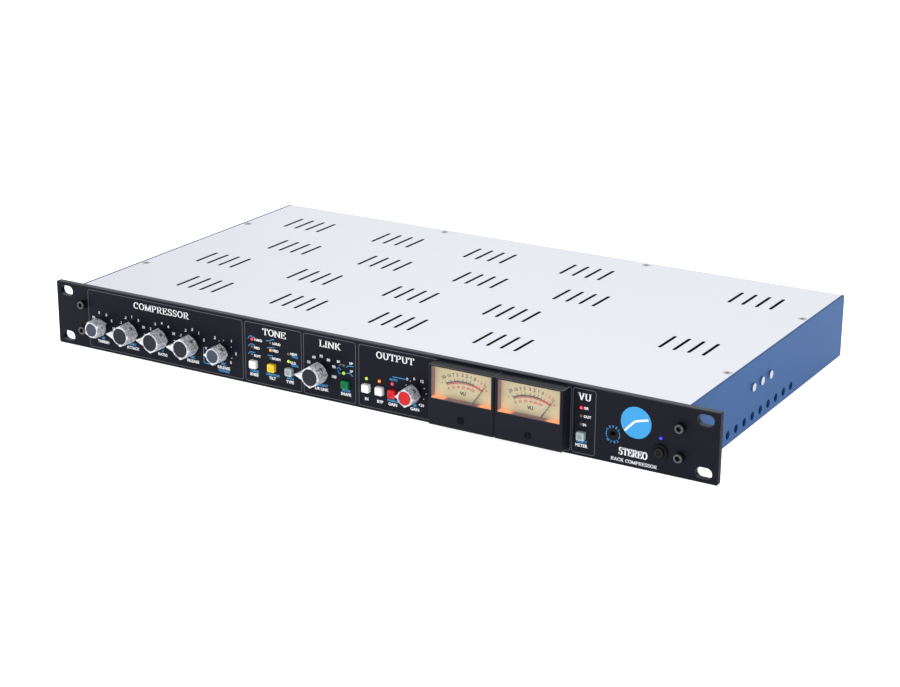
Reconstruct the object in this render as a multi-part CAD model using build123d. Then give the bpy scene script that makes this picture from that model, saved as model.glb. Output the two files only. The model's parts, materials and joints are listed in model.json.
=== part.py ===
from build123d import *
import os
from math import cos, radians, sin

# Rack-mounted stereo compressor, one rack unit high, in millimetres.
# Origin: centre of the front panel's rear face, on the rack-ear hole pattern.
# +X to the right as seen from the front, +Y towards the rear, +Z up.

# ---- Front panel ----
PANEL_W = 482.6
PANEL_H = 43.66
PANEL_T = 4.0
PANEL_CORNER_R = 1.0
EDGE_BEVEL = 0.4
EAR_SLOT_X = 232.55
EAR_SLOT_Z = 15.875
EAR_SLOT_L = 10.5
EAR_SLOT_W = 7.0

# ---- Case ----
CASE_HALF_W = 222.2
CASE_D = 244.4
CASE_TOP = 21.3
CASE_BOTTOM = -20.6
SHEET = 1.5
LIP = 9.7
FLANGE_T = 3.0
COVER_GAP = 0.2
SIDE_SCREW_X = 217.0
SIDE_SCREW_Y = (62.0, 182.0)
REAR_SCREW_X = 81.0
REAR_SCREW_Y = 239.0
REAR_LIP = 10.0

# ---- Ventilation ----
VENT_W = 2.3
VENT_L = 25.0
VENT_PITCH = 9.6
VENTS_PER_GROUP = 4
VENT_GROUP_PITCH = 76.2
VENT_ROW_A = (202.0, 95.5)
VENT_ROW_A_X = (-175.4, -98.4, -22.1, 53.9, 177.5)
VENT_ROW_B = (148.0, 43.0)
VENT_ROW_B_FIRST_X = -151.5
VENT_ROW_B_COUNT = 4
SIDE_HOLE_R = 2.75
SIDE_HOLE_FIRST_Y = 54.5
SIDE_HOLE_PITCH = 12.5
SIDE_HOLE_COUNT = 9
SIDE_HOLE_Z = -14.5

# ---- Voltage regulators, bolted to the inside of the right side plate ----
REGULATOR_Y = (90.5, 104.0, 117.5)
REGULATOR_Z = 4.5
REGULATOR_SIZE = (4.5, 10.2, 15.0)
REGULATOR_SCREW_R = 1.5
REGULATOR_HEAD_R = 2.6
REGULATOR_HEAD_T = 1.0

# ---- Screws ----
CAP_SCREW_X = 218.0
CAP_SCREW_Z = 8.9
CAP_SCREW_HEAD_R = 2.87
CAP_SCREW_HEAD_H = 4.0
CAP_SCREW_R = 1.75
CAP_SCREW_L = 12.0
CAP_SCREW_HEX = 2.78
CAP_SCREW_HEX_DEPTH = 2.0
FLAT_SCREW_HEAD_R = 2.8
FLAT_SCREW_R = 1.45
FLAT_SCREW_HEAD_H = 1.35
FLAT_SCREW_L = 7.0
FLAT_RECESS_W = 0.8
FLAT_RECESS_L = 3.0
FLAT_RECESS_DEPTH = 0.8
HOLE_GAP = 0.1

# ---- Rotary controls: name, x, z, large or small, angle of the pointer from 12 o'clock ----
POINTER_LEFT = -90.0
KNOBS = (
    ("threshold", -202.3, -3.5, "small", 60.0),
    ("attack", -177.1, -3.2, "large", POINTER_LEFT),
    ("ratio", -152.1, -3.2, "large", POINTER_LEFT),
    ("release", -127.2, -3.2, "large", POINTER_LEFT),
    ("release_variable", -102.3, -3.8, "small", POINTER_LEFT),
    ("link", -26.3, -3.4, "large", POINTER_LEFT),
    ("gain", 42.2, -4.2, "small", POINTER_LEFT),
)
# base radius, length, cap radius, nose reach, fin reach, half width of the nose's root
KNOB_SHAPES = {
    "large": (6.7, 10.2, 5.5, 12.2, 7.7, 4.2),
    "small": (5.6, 9.0, 4.4, 7.6, 6.5, 3.4),
}
KNOB_TAPER = 2.5
KNOB_TIP_HALF_W = 0.4
NOSE_ROOT_SHARE = 0.5
FIN_ROOT_SHARE = 0.75
KNOB_STANDOFF = 3.4
KNOB_SET_SCREW_R = 1.1
KNOB_SET_SCREW_ANGLE = -135.0
KNOB_SET_SCREW_SHARE = 0.36
KNOB_BORE_DEPTH = 7.0
CAP_RECESS = 1.6
CAP_T = 1.2
CAP_BEVEL = 0.3
SHAFT_R = 3.0
SHAFT_FIT = 0.02
SHAFT_RUNNING = 0.05
SHAFT_BACK = 9.0
BORE_END_GAP = 1.0
SHAFT_PANEL_HOLE_R = 3.4
CONTROL_R = {"large": 8.0, "small": 5.5}
CONTROL_FRONT = 0.6

# ---- Push buttons: name, x, z ----
BUTTONS = (
    ("knee", -78.1, -7.9),
    ("tilt", -63.9, -7.8),
    ("type", -50.3, -8.0),
    ("shape", -8.0, -8.5),
    ("in", 7.3, -7.8),
    ("bypass", 17.1, -7.8),
    ("auto_gain", 26.4, -7.9),
    ("meter", 155.6, -8.9),
)
BUTTON_SIZE = 5.4
BUTTON_PROUD = 2.6
BUTTON_GAP = 0.35
BUTTON_ROUND = 0.72
BUTTON_CORNER = 0.8
BUTTON_BACK = 4.0
PLUNGER = 2.8
PLUNGER_BACK = 11.0
SWITCH_FRONT = 7.0
SWITCH_SIZE = 8.0
SWITCH_HOLE = 3.6
SWITCH_HOLE_BACK = 14.5

# ---- Power button ----
POWER_X = 205.7
POWER_Z = -8.5
BEZEL_R = 4.85
BEZEL_T = 1.5
BEZEL_BEVEL = 0.5
POWER_BARREL_R = 4.0
POWER_BORE_R = 3.25
POWER_BUTTON_R = 2.9
POWER_BUTTON_ROUND = 0.45
POWER_BUTTON_BACK = 6.0
POWER_BORE_BACK = 9.0
POWER_BARREL_BACK = 16.2

# ---- Indicator lamps: x, z ----
LEDS = (
    (-79.3, 8.75), (-79.5, 3.75), (-79.5, -1.4),
    (-65.0, 8.75), (-65.0, 3.75), (-65.0, -1.4),
    (-51.2, 3.75), (-51.2, -1.25),
    (-9.5, 3.8), (-9.5, -1.4),
    (7.25, -1.7), (16.6, -1.7), (26.0, -1.7),
    (155.0, 8.3), (155.0, 3.3), (155.0, -1.8),
    (POWER_X, -0.2),
)
LED_R = 1.0
LED_HOLE_R = 1.1
LED_PROUD = 0.6
LED_ROUND = 0.6
LED_SPACER_R = 1.4
LED_SPACER_FRONT = 1.0

# ---- Trimmer behind the panel ----
TRIMMER_X = 175.7
TRIMMER_Z = -3.9
TRIMMER_HOLE_R = 1.7
TRIMMER_R = 1.35
TRIMMER_FRONT = -2.0
TRIMMER_BODY = 7.0
TRIMMER_SLOT = 0.5

# ---- Level meters ----
METER_X = {"left": 79.55, "right": 125.0}
METER_HALF_W = 22.5
METER_TOP = 20.0
METER_BOTTOM = -18.5
METER_PROUD = 9.0
METER_WALL = 1.2
METER_FRONT_WALL = 2.0
METER_TOP_WALL = 0.7
BARREL_HALF_W = 20.6
BARREL_TOP = 18.1
BARREL_BOTTOM = -16.6
BARREL_BACK = 18.0
BARREL_GAP = 0.3
WINDOW_HALF_W = 20.6
WINDOW_BOTTOM = -1.1
WINDOW_TOP = 19.3
WINDOW_T = 1.0
WINDOW_RECESS = 0.4
DIAL_DEPTH = 4.2
DIAL_T = 0.8
DIAL_BOTTOM = -2.6
NEEDLE_PIVOT_Z = -10.0
NEEDLE_REST = 36.0
NEEDLE_L = 25.0
NEEDLE_TAIL = 4.5
NEEDLE_W = 0.5
NEEDLE_T = 0.4
NEEDLE_DEPTH = 3.0
HUB_R = 1.5
HUB_HALF_H = 0.75
PIVOT_R = 0.4
PIVOT_L = 4.0
MOVEMENT_R = 5.2
MOVEMENT_BACK = 8.0
MOVEMENT_STEM = 1.6
ZERO_Z = -12.1
ZERO_R = 2.3
ZERO_PROUD = 0.3
ZERO_SLOT = 0.7
ZERO_SLOT_DEPTH = 0.8

# ---- Boards and inner parts ----
CONTROL_BOARD_Y = 16.2
BOARD_T = 1.6
CONTROL_BOARD_HALF_H = 16.5
CONTROL_BOARD_SPANS = ((-209.5, 52.0), (151.0, 209.5))
MAIN_BOARD_X = (-200.0, 90.0)
MAIN_BOARD_Y = (26.0, 216.0)
MAIN_BOARD_Z = -13.1
STANDOFF_R = 2.5
STANDOFF_X = (-192.0, -55.0, 82.0)
STANDOFF_Y = (34.0, 208.0)
TOROID_AT = (150.0, 165.0)
TOROID_R = 37.0
TOROID_HOLE_R = 12.0
TOROID_H = 31.0
TOROID_ROUND = 7.0
TOROID_WASHER_R = 22.0
TOROID_WASHER_T = 1.6
TOROID_BOLT_R = 3.0
AUDIO_TRANSFORMER_SIZE = (30.0, 34.0, 26.0)
AUDIO_TRANSFORMER_X = (-20.0, 30.0)
AUDIO_TRANSFORMER_Y = 185.0
CAPACITOR_R = 6.3
CAPACITOR_H = 21.0
CAPACITOR_Y = 60.0
CAPACITOR_X = (20.0, 40.0, 60.0, 80.0)
AMP_MODULE_SIZE = (27.0, 27.0, 14.0)
AMP_MODULE_X = (-180.0, -140.0, -100.0, -60.0)
AMP_MODULE_Y = (70.0, 125.0)

# ---- Rear connectors ----
XLR_IN_X = (-190.0, -155.0)
XLR_OUT_X = (-110.0, -75.0)
XLR_Z = 0.35
XLR_BODY_R = 11.8
XLR_HOLE_R = 12.1
XLR_FLANGE = (26.0, 31.0)
XLR_FLANGE_T = 2.0
XLR_FLANGE_CORNER_R = 2.0
XLR_BODY_L = 20.0
XLR_CUP_R = 7.9
XLR_CUP_DEPTH = 14.0
XLR_PIN_R = 1.2
XLR_PIN_CIRCLE_R = 3.9
XLR_PIN_L = 12.0
XLR_PIN_ANGLES = (180.0, 270.0, 0.0)
XLR_RING_INNER_R = 9.6
XLR_RING_DEPTH = 8.0
INLET_X = 180.0
INLET_FLANGE = (33.0, 25.0)
INLET_FLANGE_T = 2.0
INLET_BODY = (27.0, 19.6)
INLET_BODY_L = 21.0
INLET_CAVITY = (24.6, 17.0)
INLET_CAVITY_DEPTH = 15.0
INLET_BLADE = (2.0, 4.0, 12.0)
INLET_BLADES = ((-7.0, -2.0), (7.0, -2.0), (0.0, 4.5))
INLET_GAP = 0.3

REACH = 20.0
FRONT = -PANEL_T
REAR = CASE_D
INNER_TOP = CASE_TOP - SHEET
INNER_BOTTOM = CASE_BOTTOM + SHEET
COVER_HALF_W = CASE_HALF_W - SHEET - COVER_GAP


def block(x0, x1, y0, y1, z0, z1):
    """A box between two corners."""
    size = (x1 - x0, y1 - y0, z1 - z0)
    return Pos((x0 + x1) / 2, (y0 + y1) / 2, (z0 + z1) / 2) * Box(*size)


def facing(x, y, z):
    """A place whose local X is right, local Y is up and local Z is towards the front."""
    return Pos(x, y, z) * Rot(90, 0, 0)


def rod(x, z, radius, y0, y1):
    """A cylinder along Y from y0 to y1."""
    return facing(x, y1, z) * extrude(Circle(radius), amount=y1 - y0)


def centred_block(x, z, half_w, half_h, y0, y1):
    """A box along Y about the line at x, z."""
    return block(x - half_w, x + half_w, y0, y1, z - half_h, z + half_h)


def through(x, z, outline):
    """An outline cut right through a plate that faces the front."""
    return facing(x, REACH, z) * extrude(outline, amount=2 * REACH)


def front_panel():
    """The plate with the rack slots and every opening for controls, lamps and meters."""
    panel = block(-PANEL_W / 2, PANEL_W / 2, FRONT, 0, -PANEL_H / 2, PANEL_H / 2)
    panel = fillet(panel.edges().filter_by(Axis.Y), PANEL_CORNER_R)
    panel = chamfer(panel.faces().sort_by(Axis.Y)[0].edges(), EDGE_BEVEL)
    cuts = [through(sx * EAR_SLOT_X, sz * EAR_SLOT_Z, SlotOverall(EAR_SLOT_L, EAR_SLOT_W))
            for sx in (-1, 1) for sz in (-1, 1)]
    cuts += [through(sx * CAP_SCREW_X, sz * CAP_SCREW_Z, Circle(CAP_SCREW_R + HOLE_GAP))
             for sx in (-1, 1) for sz in (-1, 1)]
    cuts += [through(x, z, Circle(SHAFT_PANEL_HOLE_R)) for _, x, z, _, _ in KNOBS]
    opening = BUTTON_SIZE + 2 * BUTTON_GAP
    cuts += [through(x, z, RectangleRounded(opening, opening, BUTTON_CORNER)) for _, x, z in BUTTONS]
    cuts += [through(x, z, Circle(LED_HOLE_R)) for x, z in LEDS]
    cuts.append(through(TRIMMER_X, TRIMMER_Z, Circle(TRIMMER_HOLE_R)))
    cuts.append(through(POWER_X, POWER_Z, Circle(POWER_BARREL_R + HOLE_GAP)))
    for x in METER_X.values():
        cuts.append(block(x - BARREL_HALF_W - BARREL_GAP, x + BARREL_HALF_W + BARREL_GAP, -REACH, REACH,
                          BARREL_BOTTOM - BARREL_GAP, BARREL_TOP + BARREL_GAP))
    return panel - cuts


def side_plate(side):
    """A folded side: upright plate, inward lips for the covers and a tapped flange for the panel."""
    outer = CASE_HALF_W
    inner = CASE_HALF_W - SHEET
    lip_x = inner - LIP
    plate = block(inner, outer, 0, REAR, CASE_BOTTOM, CASE_TOP)
    lip_end = REAR - SHEET - REAR_LIP - COVER_GAP
    plate += block(lip_x, inner, 0, lip_end, INNER_TOP - SHEET, INNER_TOP)
    plate += block(lip_x, inner, 0, lip_end, INNER_BOTTOM, INNER_BOTTOM + SHEET)
    plate += block(lip_x, inner, 0, FLANGE_T, INNER_BOTTOM + SHEET, INNER_TOP - SHEET)
    cuts = [through(CAP_SCREW_X, sz * CAP_SCREW_Z, Circle(CAP_SCREW_R + HOLE_GAP)) for sz in (-1, 1)]
    cuts += [Pos(SIDE_SCREW_X, y, z) * Cylinder(FLAT_SCREW_R + HOLE_GAP, 4 * SHEET)
             for y in SIDE_SCREW_Y for z in (INNER_TOP, INNER_BOTTOM)]
    for i in range(SIDE_HOLE_COUNT):
        at = Pos(outer, SIDE_HOLE_FIRST_Y + i * SIDE_HOLE_PITCH, SIDE_HOLE_Z)
        cuts.append(at * Rot(0, 90, 0) * Cylinder(SIDE_HOLE_R, 4 * SHEET))
    if side > 0:
        cuts += [Pos(outer, y, REGULATOR_Z) * Rot(0, 90, 0) * Cylinder(REGULATOR_SCREW_R + HOLE_GAP, 4 * SHEET)
                 for y in REGULATOR_Y]
    plate = plate - cuts
    return plate if side > 0 else mirror(plate, about=Plane.YZ)


def flat_screw_places():
    """Centres of the flush screws in each cover."""
    places = [(sx * SIDE_SCREW_X, y) for sx in (-1, 1) for y in SIDE_SCREW_Y]
    return places + [(sx * REAR_SCREW_X, REAR_SCREW_Y) for sx in (-1, 1)]


def countersink(x, y, gap):
    """A flush screw's outer shape with its head at z = 0, pointing down."""
    head = Cone(FLAT_SCREW_R + gap, FLAT_SCREW_HEAD_R + gap, FLAT_SCREW_HEAD_H)
    shank = Cylinder(FLAT_SCREW_R + gap, FLAT_SCREW_L)
    return Pos(x, y, 0) * (Pos(0, 0, -FLAT_SCREW_HEAD_H / 2) * head + Pos(0, 0, -FLAT_SCREW_L / 2) * shank)


def flat_screw(x, y):
    """A flush cross-recess screw."""
    recess = Pos(x, y, 0) * Box(FLAT_RECESS_W, FLAT_RECESS_L, 2 * FLAT_RECESS_DEPTH)
    recess += Pos(x, y, 0) * Box(FLAT_RECESS_L, FLAT_RECESS_W, 2 * FLAT_RECESS_DEPTH)
    return countersink(x, y, 0) - recess


def cover_blank():
    """A cover sheet with countersunk holes, its outer face at z = 0."""
    sheet = block(-COVER_HALF_W, COVER_HALF_W, 0, REAR, -SHEET, 0)
    return sheet - [countersink(x, y, HOLE_GAP) for x, y in flat_screw_places()]


def vent_group(x, y):
    """Four parallel slots that run from front to rear."""
    first = x - VENT_PITCH * (VENTS_PER_GROUP - 1) / 2
    slot = extrude(SlotOverall(VENT_L, VENT_W), amount=SHEET, both=True)
    return [Pos(first + i * VENT_PITCH, y, 0) * Rot(0, 0, 90) * slot for i in range(VENTS_PER_GROUP)]


def top_cover():
    """The cover with staggered groups of ventilation slots."""
    cover = cover_blank()
    slots = []
    for y in VENT_ROW_A:
        for x in VENT_ROW_A_X:
            slots += vent_group(x, y)
    for y in VENT_ROW_B:
        for i in range(VENT_ROW_B_COUNT):
            slots += vent_group(VENT_ROW_B_FIRST_X + i * VENT_GROUP_PITCH, y)
    return Pos(0, 0, CASE_TOP) * (cover - slots)


def bottom_cover():
    """The plain lower cover."""
    return Pos(0, 0, CASE_BOTTOM) * mirror(cover_blank(), about=Plane.XY)


def rear_panel():
    """The rear wall with folded lips under both covers and the connector openings."""
    wall = block(-COVER_HALF_W, COVER_HALF_W, REAR - SHEET, REAR, INNER_BOTTOM, INNER_TOP)
    front = REAR - SHEET - REAR_LIP
    wall += block(-COVER_HALF_W, COVER_HALF_W, front, REAR - SHEET, INNER_TOP - SHEET, INNER_TOP)
    wall += block(-COVER_HALF_W, COVER_HALF_W, front, REAR - SHEET, INNER_BOTTOM, INNER_BOTTOM + SHEET)
    cuts = [Pos(sx * REAR_SCREW_X, REAR_SCREW_Y, z) * Cylinder(FLAT_SCREW_R + HOLE_GAP, 4 * SHEET)
            for sx in (-1, 1) for z in (INNER_TOP, INNER_BOTTOM)]
    cuts += [rod(x, XLR_Z, XLR_HOLE_R, REAR - REACH, REAR + REACH) for x in XLR_IN_X + XLR_OUT_X]
    inlet_half_w = INLET_BODY[0] / 2 + INLET_GAP
    inlet_half_h = INLET_BODY[1] / 2 + INLET_GAP
    cuts.append(centred_block(INLET_X, XLR_Z, inlet_half_w, inlet_half_h, REAR - REACH, REAR + REACH))
    return wall - cuts


def panel_screws():
    """Four socket-head screws that hold the panel to the side plates."""
    screws = []
    for sx in (-1, 1):
        for sz in (-1, 1):
            x = sx * CAP_SCREW_X
            z = sz * CAP_SCREW_Z
            head = rod(x, z, CAP_SCREW_HEAD_R, FRONT - CAP_SCREW_HEAD_H, FRONT)
            head = chamfer(head.edges().sort_by(Axis.Y)[0], EDGE_BEVEL)
            socket = RegularPolygon(CAP_SCREW_HEX / 2, 6, major_radius=False)
            head -= facing(x, FRONT - CAP_SCREW_HEAD_H + CAP_SCREW_HEX_DEPTH, z) * extrude(socket, amount=REACH)
            screws.append(head + rod(x, z, CAP_SCREW_R, FRONT, FRONT + CAP_SCREW_L))
    return screws


def regulator_screw(y):
    """A pan-head screw through the right side plate into a regulator."""
    head = Pos(CASE_HALF_W + REGULATOR_HEAD_T / 2, y, REGULATOR_Z) * Rot(0, 90, 0)
    screw = head * Cylinder(REGULATOR_HEAD_R, REGULATOR_HEAD_T)
    shank_l = SHEET + REGULATOR_SIZE[0]
    shank = Pos(CASE_HALF_W - shank_l / 2, y, REGULATOR_Z) * Rot(0, 90, 0)
    return screw + shank * Cylinder(REGULATOR_SCREW_R, shank_l)


def chassis_screws():
    """Flush cover screws above and below, and the regulator screws."""
    screws = []
    for x, y in flat_screw_places():
        screws.append(Pos(0, 0, CASE_TOP) * flat_screw(x, y))
        screws.append(Pos(0, 0, CASE_BOTTOM) * mirror(flat_screw(x, y), about=Plane.XY))
    return screws + [regulator_screw(y) for y in REGULATOR_Y]


def knob_spur(angle, base, reach, root):
    """A tapering spur from a wide root to a narrow tip, turned from 12 o'clock by an angle."""
    tip = KNOB_TIP_HALF_W
    return Rot(0, 0, angle) * make_face(
        Polyline((-root, base), (-tip, reach), (tip, reach), (root, base), close=True))


def knob_outline(radius, nose, fin, root):
    """Round body with a long nose at 12 o'clock and three short fins at the other quarters."""
    outline = Circle(radius) + knob_spur(0, radius * NOSE_ROOT_SHARE, nose, root)
    for angle in (90, 180, 270):
        outline += knob_spur(angle, radius * FIN_ROOT_SHARE, fin, root)
    return outline


def knob(x, z, kind, pointer):
    """A moulded pointer knob with a recess for its cap, a shaft bore and a set-screw hole."""
    radius, length, cap_r, nose, fin, root = KNOB_SHAPES[kind]
    body = extrude(knob_outline(radius, nose, fin, root), amount=length, taper=KNOB_TAPER)
    body -= Pos(0, 0, length - CAP_RECESS) * extrude(Circle(cap_r), amount=CAP_RECESS)
    body -= extrude(Circle(SHAFT_R + SHAFT_FIT), amount=KNOB_BORE_DEPTH)
    screw_hole = Rot(-90, 0, 0) * extrude(Circle(KNOB_SET_SCREW_R), amount=2 * radius)
    body -= Pos(0, 0, length * KNOB_SET_SCREW_SHARE) * Rot(0, 0, KNOB_SET_SCREW_ANGLE) * screw_hole
    return facing(x, FRONT - KNOB_STANDOFF, z) * Rot(0, 0, -pointer) * body


def knob_cap(x, z, kind):
    """The disc set into the knob's front."""
    _, length, cap_r, _, _, _ = KNOB_SHAPES[kind]
    seat = FRONT - KNOB_STANDOFF - length + CAP_RECESS
    disc = rod(x, z, cap_r - SHAFT_FIT, seat - CAP_T, seat)
    return chamfer(disc.edges().sort_by(Axis.Y)[0], CAP_BEVEL)


def knob_shaft(x, z):
    """The control's steel shaft, from inside its body to inside the knob."""
    end = FRONT - KNOB_STANDOFF - KNOB_BORE_DEPTH
    return rod(x, z, SHAFT_R, end, SHAFT_BACK)


def rotary_controls():
    """Bodies of the switches and potentiometers, and of the trimmer."""
    bodies = []
    for _, x, z, kind, _ in KNOBS:
        body = rod(x, z, CONTROL_R[kind], CONTROL_FRONT, CONTROL_BOARD_Y)
        bodies.append(body - rod(x, z, SHAFT_R + SHAFT_RUNNING, CONTROL_FRONT, SHAFT_BACK + BORE_END_GAP))
    half = TRIMMER_BODY / 2
    trimmer = centred_block(TRIMMER_X, TRIMMER_Z, half, half, CONTROL_FRONT, CONTROL_BOARD_Y)
    bore_back = CONTROL_FRONT + half + BORE_END_GAP
    bodies.append(trimmer - rod(TRIMMER_X, TRIMMER_Z, TRIMMER_R + SHAFT_RUNNING, CONTROL_FRONT, bore_back))
    return bodies


def trimmer_rotor():
    """The slotted screw of the trimmer, reached through a hole in the panel."""
    back = CONTROL_FRONT + TRIMMER_BODY / 2
    rotor = rod(TRIMMER_X, TRIMMER_Z, TRIMMER_R, TRIMMER_FRONT, back)
    half_slot = TRIMMER_SLOT / 2
    return rotor - centred_block(TRIMMER_X, TRIMMER_Z, REACH, half_slot, TRIMMER_FRONT, TRIMMER_FRONT + half_slot)


def push_button(x, z):
    """A square key cap with rounded edges and its plunger."""
    outline = RectangleRounded(BUTTON_SIZE, BUTTON_SIZE, BUTTON_CORNER)
    length = PANEL_T + BUTTON_PROUD + BUTTON_BACK
    cap = extrude(outline, amount=length)
    cap = fillet(cap.faces().sort_by(Axis.Z)[-1].edges(), BUTTON_ROUND)
    plunger = centred_block(x, z, PLUNGER / 2, PLUNGER / 2, BUTTON_BACK, PLUNGER_BACK)
    return facing(x, BUTTON_BACK, z) * cap + plunger


def power_button():
    """The round power key and its stem."""
    key = rod(POWER_X, POWER_Z, POWER_BUTTON_R, FRONT - BUTTON_PROUD, POWER_BUTTON_BACK)
    return fillet(key.edges().sort_by(Axis.Y)[0], POWER_BUTTON_ROUND)


def switch_bodies():
    """Housings behind the push buttons, and the power switch with its bezel."""
    bodies = []
    for _, x, z in BUTTONS:
        body = centred_block(x, z, SWITCH_SIZE / 2, SWITCH_SIZE / 2, SWITCH_FRONT, CONTROL_BOARD_Y)
        body -= centred_block(x, z, SWITCH_HOLE / 2, SWITCH_HOLE / 2, SWITCH_FRONT, SWITCH_HOLE_BACK)
        bodies.append(body)
    bezel = rod(POWER_X, POWER_Z, BEZEL_R, FRONT - BEZEL_T, FRONT)
    bezel = chamfer(bezel.edges().sort_by(Axis.Y)[0], BEZEL_BEVEL)
    bezel += rod(POWER_X, POWER_Z, POWER_BARREL_R, FRONT, POWER_BARREL_BACK)
    bodies.append(bezel - rod(POWER_X, POWER_Z, POWER_BORE_R, FRONT - BEZEL_T, POWER_BORE_BACK))
    return bodies


def leds():
    """Indicator lamps: domed lens through the panel, on a spacer from the control board."""
    lamps = []
    for x, z in LEDS:
        lens = rod(x, z, LED_R, FRONT - LED_PROUD, LED_SPACER_FRONT)
        lens = fillet(lens.edges().sort_by(Axis.Y)[0], LED_ROUND)
        lamps.append(lens + rod(x, z, LED_SPACER_R, LED_SPACER_FRONT, CONTROL_BOARD_Y))
    return lamps


def meter_case(x):
    """A hollow meter housing: thick bezel before the panel and a barrel through it."""
    front = FRONT - METER_PROUD
    bezel = block(x - METER_HALF_W, x + METER_HALF_W, front, FRONT, METER_BOTTOM, METER_TOP)
    bezel = chamfer(bezel.faces().sort_by(Axis.Y)[0].edges(), EDGE_BEVEL)
    case = bezel + block(x - BARREL_HALF_W, x + BARREL_HALF_W, FRONT, BARREL_BACK, BARREL_BOTTOM, BARREL_TOP)
    inner = METER_HALF_W - METER_WALL
    case -= block(x - inner, x + inner, front + METER_FRONT_WALL, FRONT - METER_WALL,
                  METER_BOTTOM + METER_WALL, METER_TOP - METER_TOP_WALL)
    inner = BARREL_HALF_W - METER_WALL
    case -= block(x - inner, x + inner, FRONT - 2 * METER_WALL, BARREL_BACK - METER_WALL,
                  BARREL_BOTTOM + METER_WALL, BARREL_TOP - METER_WALL)
    case -= block(x - WINDOW_HALF_W, x + WINDOW_HALF_W, front, front + METER_FRONT_WALL, WINDOW_BOTTOM, WINDOW_TOP)
    return case - rod(x, ZERO_Z, ZERO_R + SHAFT_RUNNING, front, front + METER_FRONT_WALL)


def meter_window(x):
    """The clear window set into the meter's front."""
    y = FRONT - METER_PROUD + WINDOW_RECESS
    half = WINDOW_HALF_W - HOLE_GAP
    return block(x - half, x + half, y, y + WINDOW_T, WINDOW_BOTTOM + HOLE_GAP, WINDOW_TOP - HOLE_GAP)


def meter_dial(x):
    """The scale plate behind the needle."""
    y = FRONT - METER_PROUD + DIAL_DEPTH
    half = METER_HALF_W - METER_WALL - HOLE_GAP
    return block(x - half, x + half, y, y + DIAL_T, DIAL_BOTTOM, METER_TOP - METER_TOP_WALL - HOLE_GAP)


def meter_movement(x):
    """The magnet and coil behind the needle, below the scale plate."""
    y = FRONT - METER_PROUD + DIAL_DEPTH
    body = rod(x, NEEDLE_PIVOT_Z, MOVEMENT_R, y, MOVEMENT_BACK)
    body += centred_block(x, NEEDLE_PIVOT_Z, MOVEMENT_STEM, MOVEMENT_STEM, MOVEMENT_BACK, BARREL_BACK - METER_WALL)
    return body - rod(x, NEEDLE_PIVOT_Z, PIVOT_R + SHAFT_RUNNING, y, y + PIVOT_L)


def meter_needle(x):
    """The pointer with its hub, balance tail and pivot pin, leaning to the right of upright."""
    y = FRONT - METER_PROUD + NEEDLE_DEPTH
    half_t = NEEDLE_T / 2
    blade = make_face(Polyline((-NEEDLE_W, -NEEDLE_TAIL), (NEEDLE_W, -NEEDLE_TAIL), (NEEDLE_W / 2, NEEDLE_L),
                               (-NEEDLE_W / 2, NEEDLE_L), close=True))
    needle = Pos(0, 0, -half_t) * extrude(blade, amount=NEEDLE_T)
    needle += Pos(0, 0, -HUB_HALF_H) * extrude(Circle(HUB_R), amount=2 * HUB_HALF_H)
    pin_l = DIAL_DEPTH - NEEDLE_DEPTH + PIVOT_L - 2 * HUB_HALF_H
    needle += Pos(0, 0, -HUB_HALF_H - pin_l) * extrude(Circle(PIVOT_R), amount=pin_l)
    return facing(x, y, NEEDLE_PIVOT_Z) * Rot(0, 0, -NEEDLE_REST) * needle


def zero_screw(x):
    """The slotted zero adjuster in the meter's lower front."""
    head = FRONT - METER_PROUD - ZERO_PROUD
    screw = rod(x, ZERO_Z, ZERO_R, head, FRONT - METER_PROUD + METER_FRONT_WALL)
    return screw - centred_block(x, ZERO_Z, ZERO_SLOT / 2, REACH, head, head + ZERO_SLOT_DEPTH)


def control_boards():
    """Circuit boards behind the panel, one each side of the meters."""
    return [block(x0, x1, CONTROL_BOARD_Y, CONTROL_BOARD_Y + BOARD_T, -CONTROL_BOARD_HALF_H, CONTROL_BOARD_HALF_H)
            for x0, x1 in CONTROL_BOARD_SPANS]


def main_board():
    """The flat board that carries the audio circuits."""
    return block(*MAIN_BOARD_X, *MAIN_BOARD_Y, MAIN_BOARD_Z, MAIN_BOARD_Z + BOARD_T)


def board_standoffs():
    """Pillars between the bottom cover and the main board."""
    height = MAIN_BOARD_Z - INNER_BOTTOM
    return [Pos(x, y, INNER_BOTTOM + height / 2) * Cylinder(STANDOFF_R, height)
            for x in STANDOFF_X for y in STANDOFF_Y]


def power_transformer():
    """A toroidal transformer with its clamping washer and bolt."""
    ring = Cylinder(TOROID_R, TOROID_H)
    ring = fillet(ring.edges(), TOROID_ROUND) - Cylinder(TOROID_HOLE_R, TOROID_H)
    top = TOROID_H / 2
    clamp = Pos(0, 0, top + TOROID_WASHER_T / 2) * Cylinder(TOROID_WASHER_R, TOROID_WASHER_T)
    clamp += Pos(0, 0, TOROID_WASHER_T) * Cylinder(TOROID_BOLT_R, TOROID_H + 2 * TOROID_WASHER_T)
    place = Pos(*TOROID_AT, INNER_BOTTOM + TOROID_H / 2 + HOLE_GAP)
    return [place * ring, place * clamp]


def standing_box(x, y, size):
    """A block that stands on the main board."""
    w, d, h = size
    z = MAIN_BOARD_Z + BOARD_T
    return block(x - w / 2, x + w / 2, y - d / 2, y + d / 2, z, z + h)


def audio_transformers():
    """Two output transformers on the main board."""
    return [standing_box(x, AUDIO_TRANSFORMER_Y, AUDIO_TRANSFORMER_SIZE) for x in AUDIO_TRANSFORMER_X]


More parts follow.
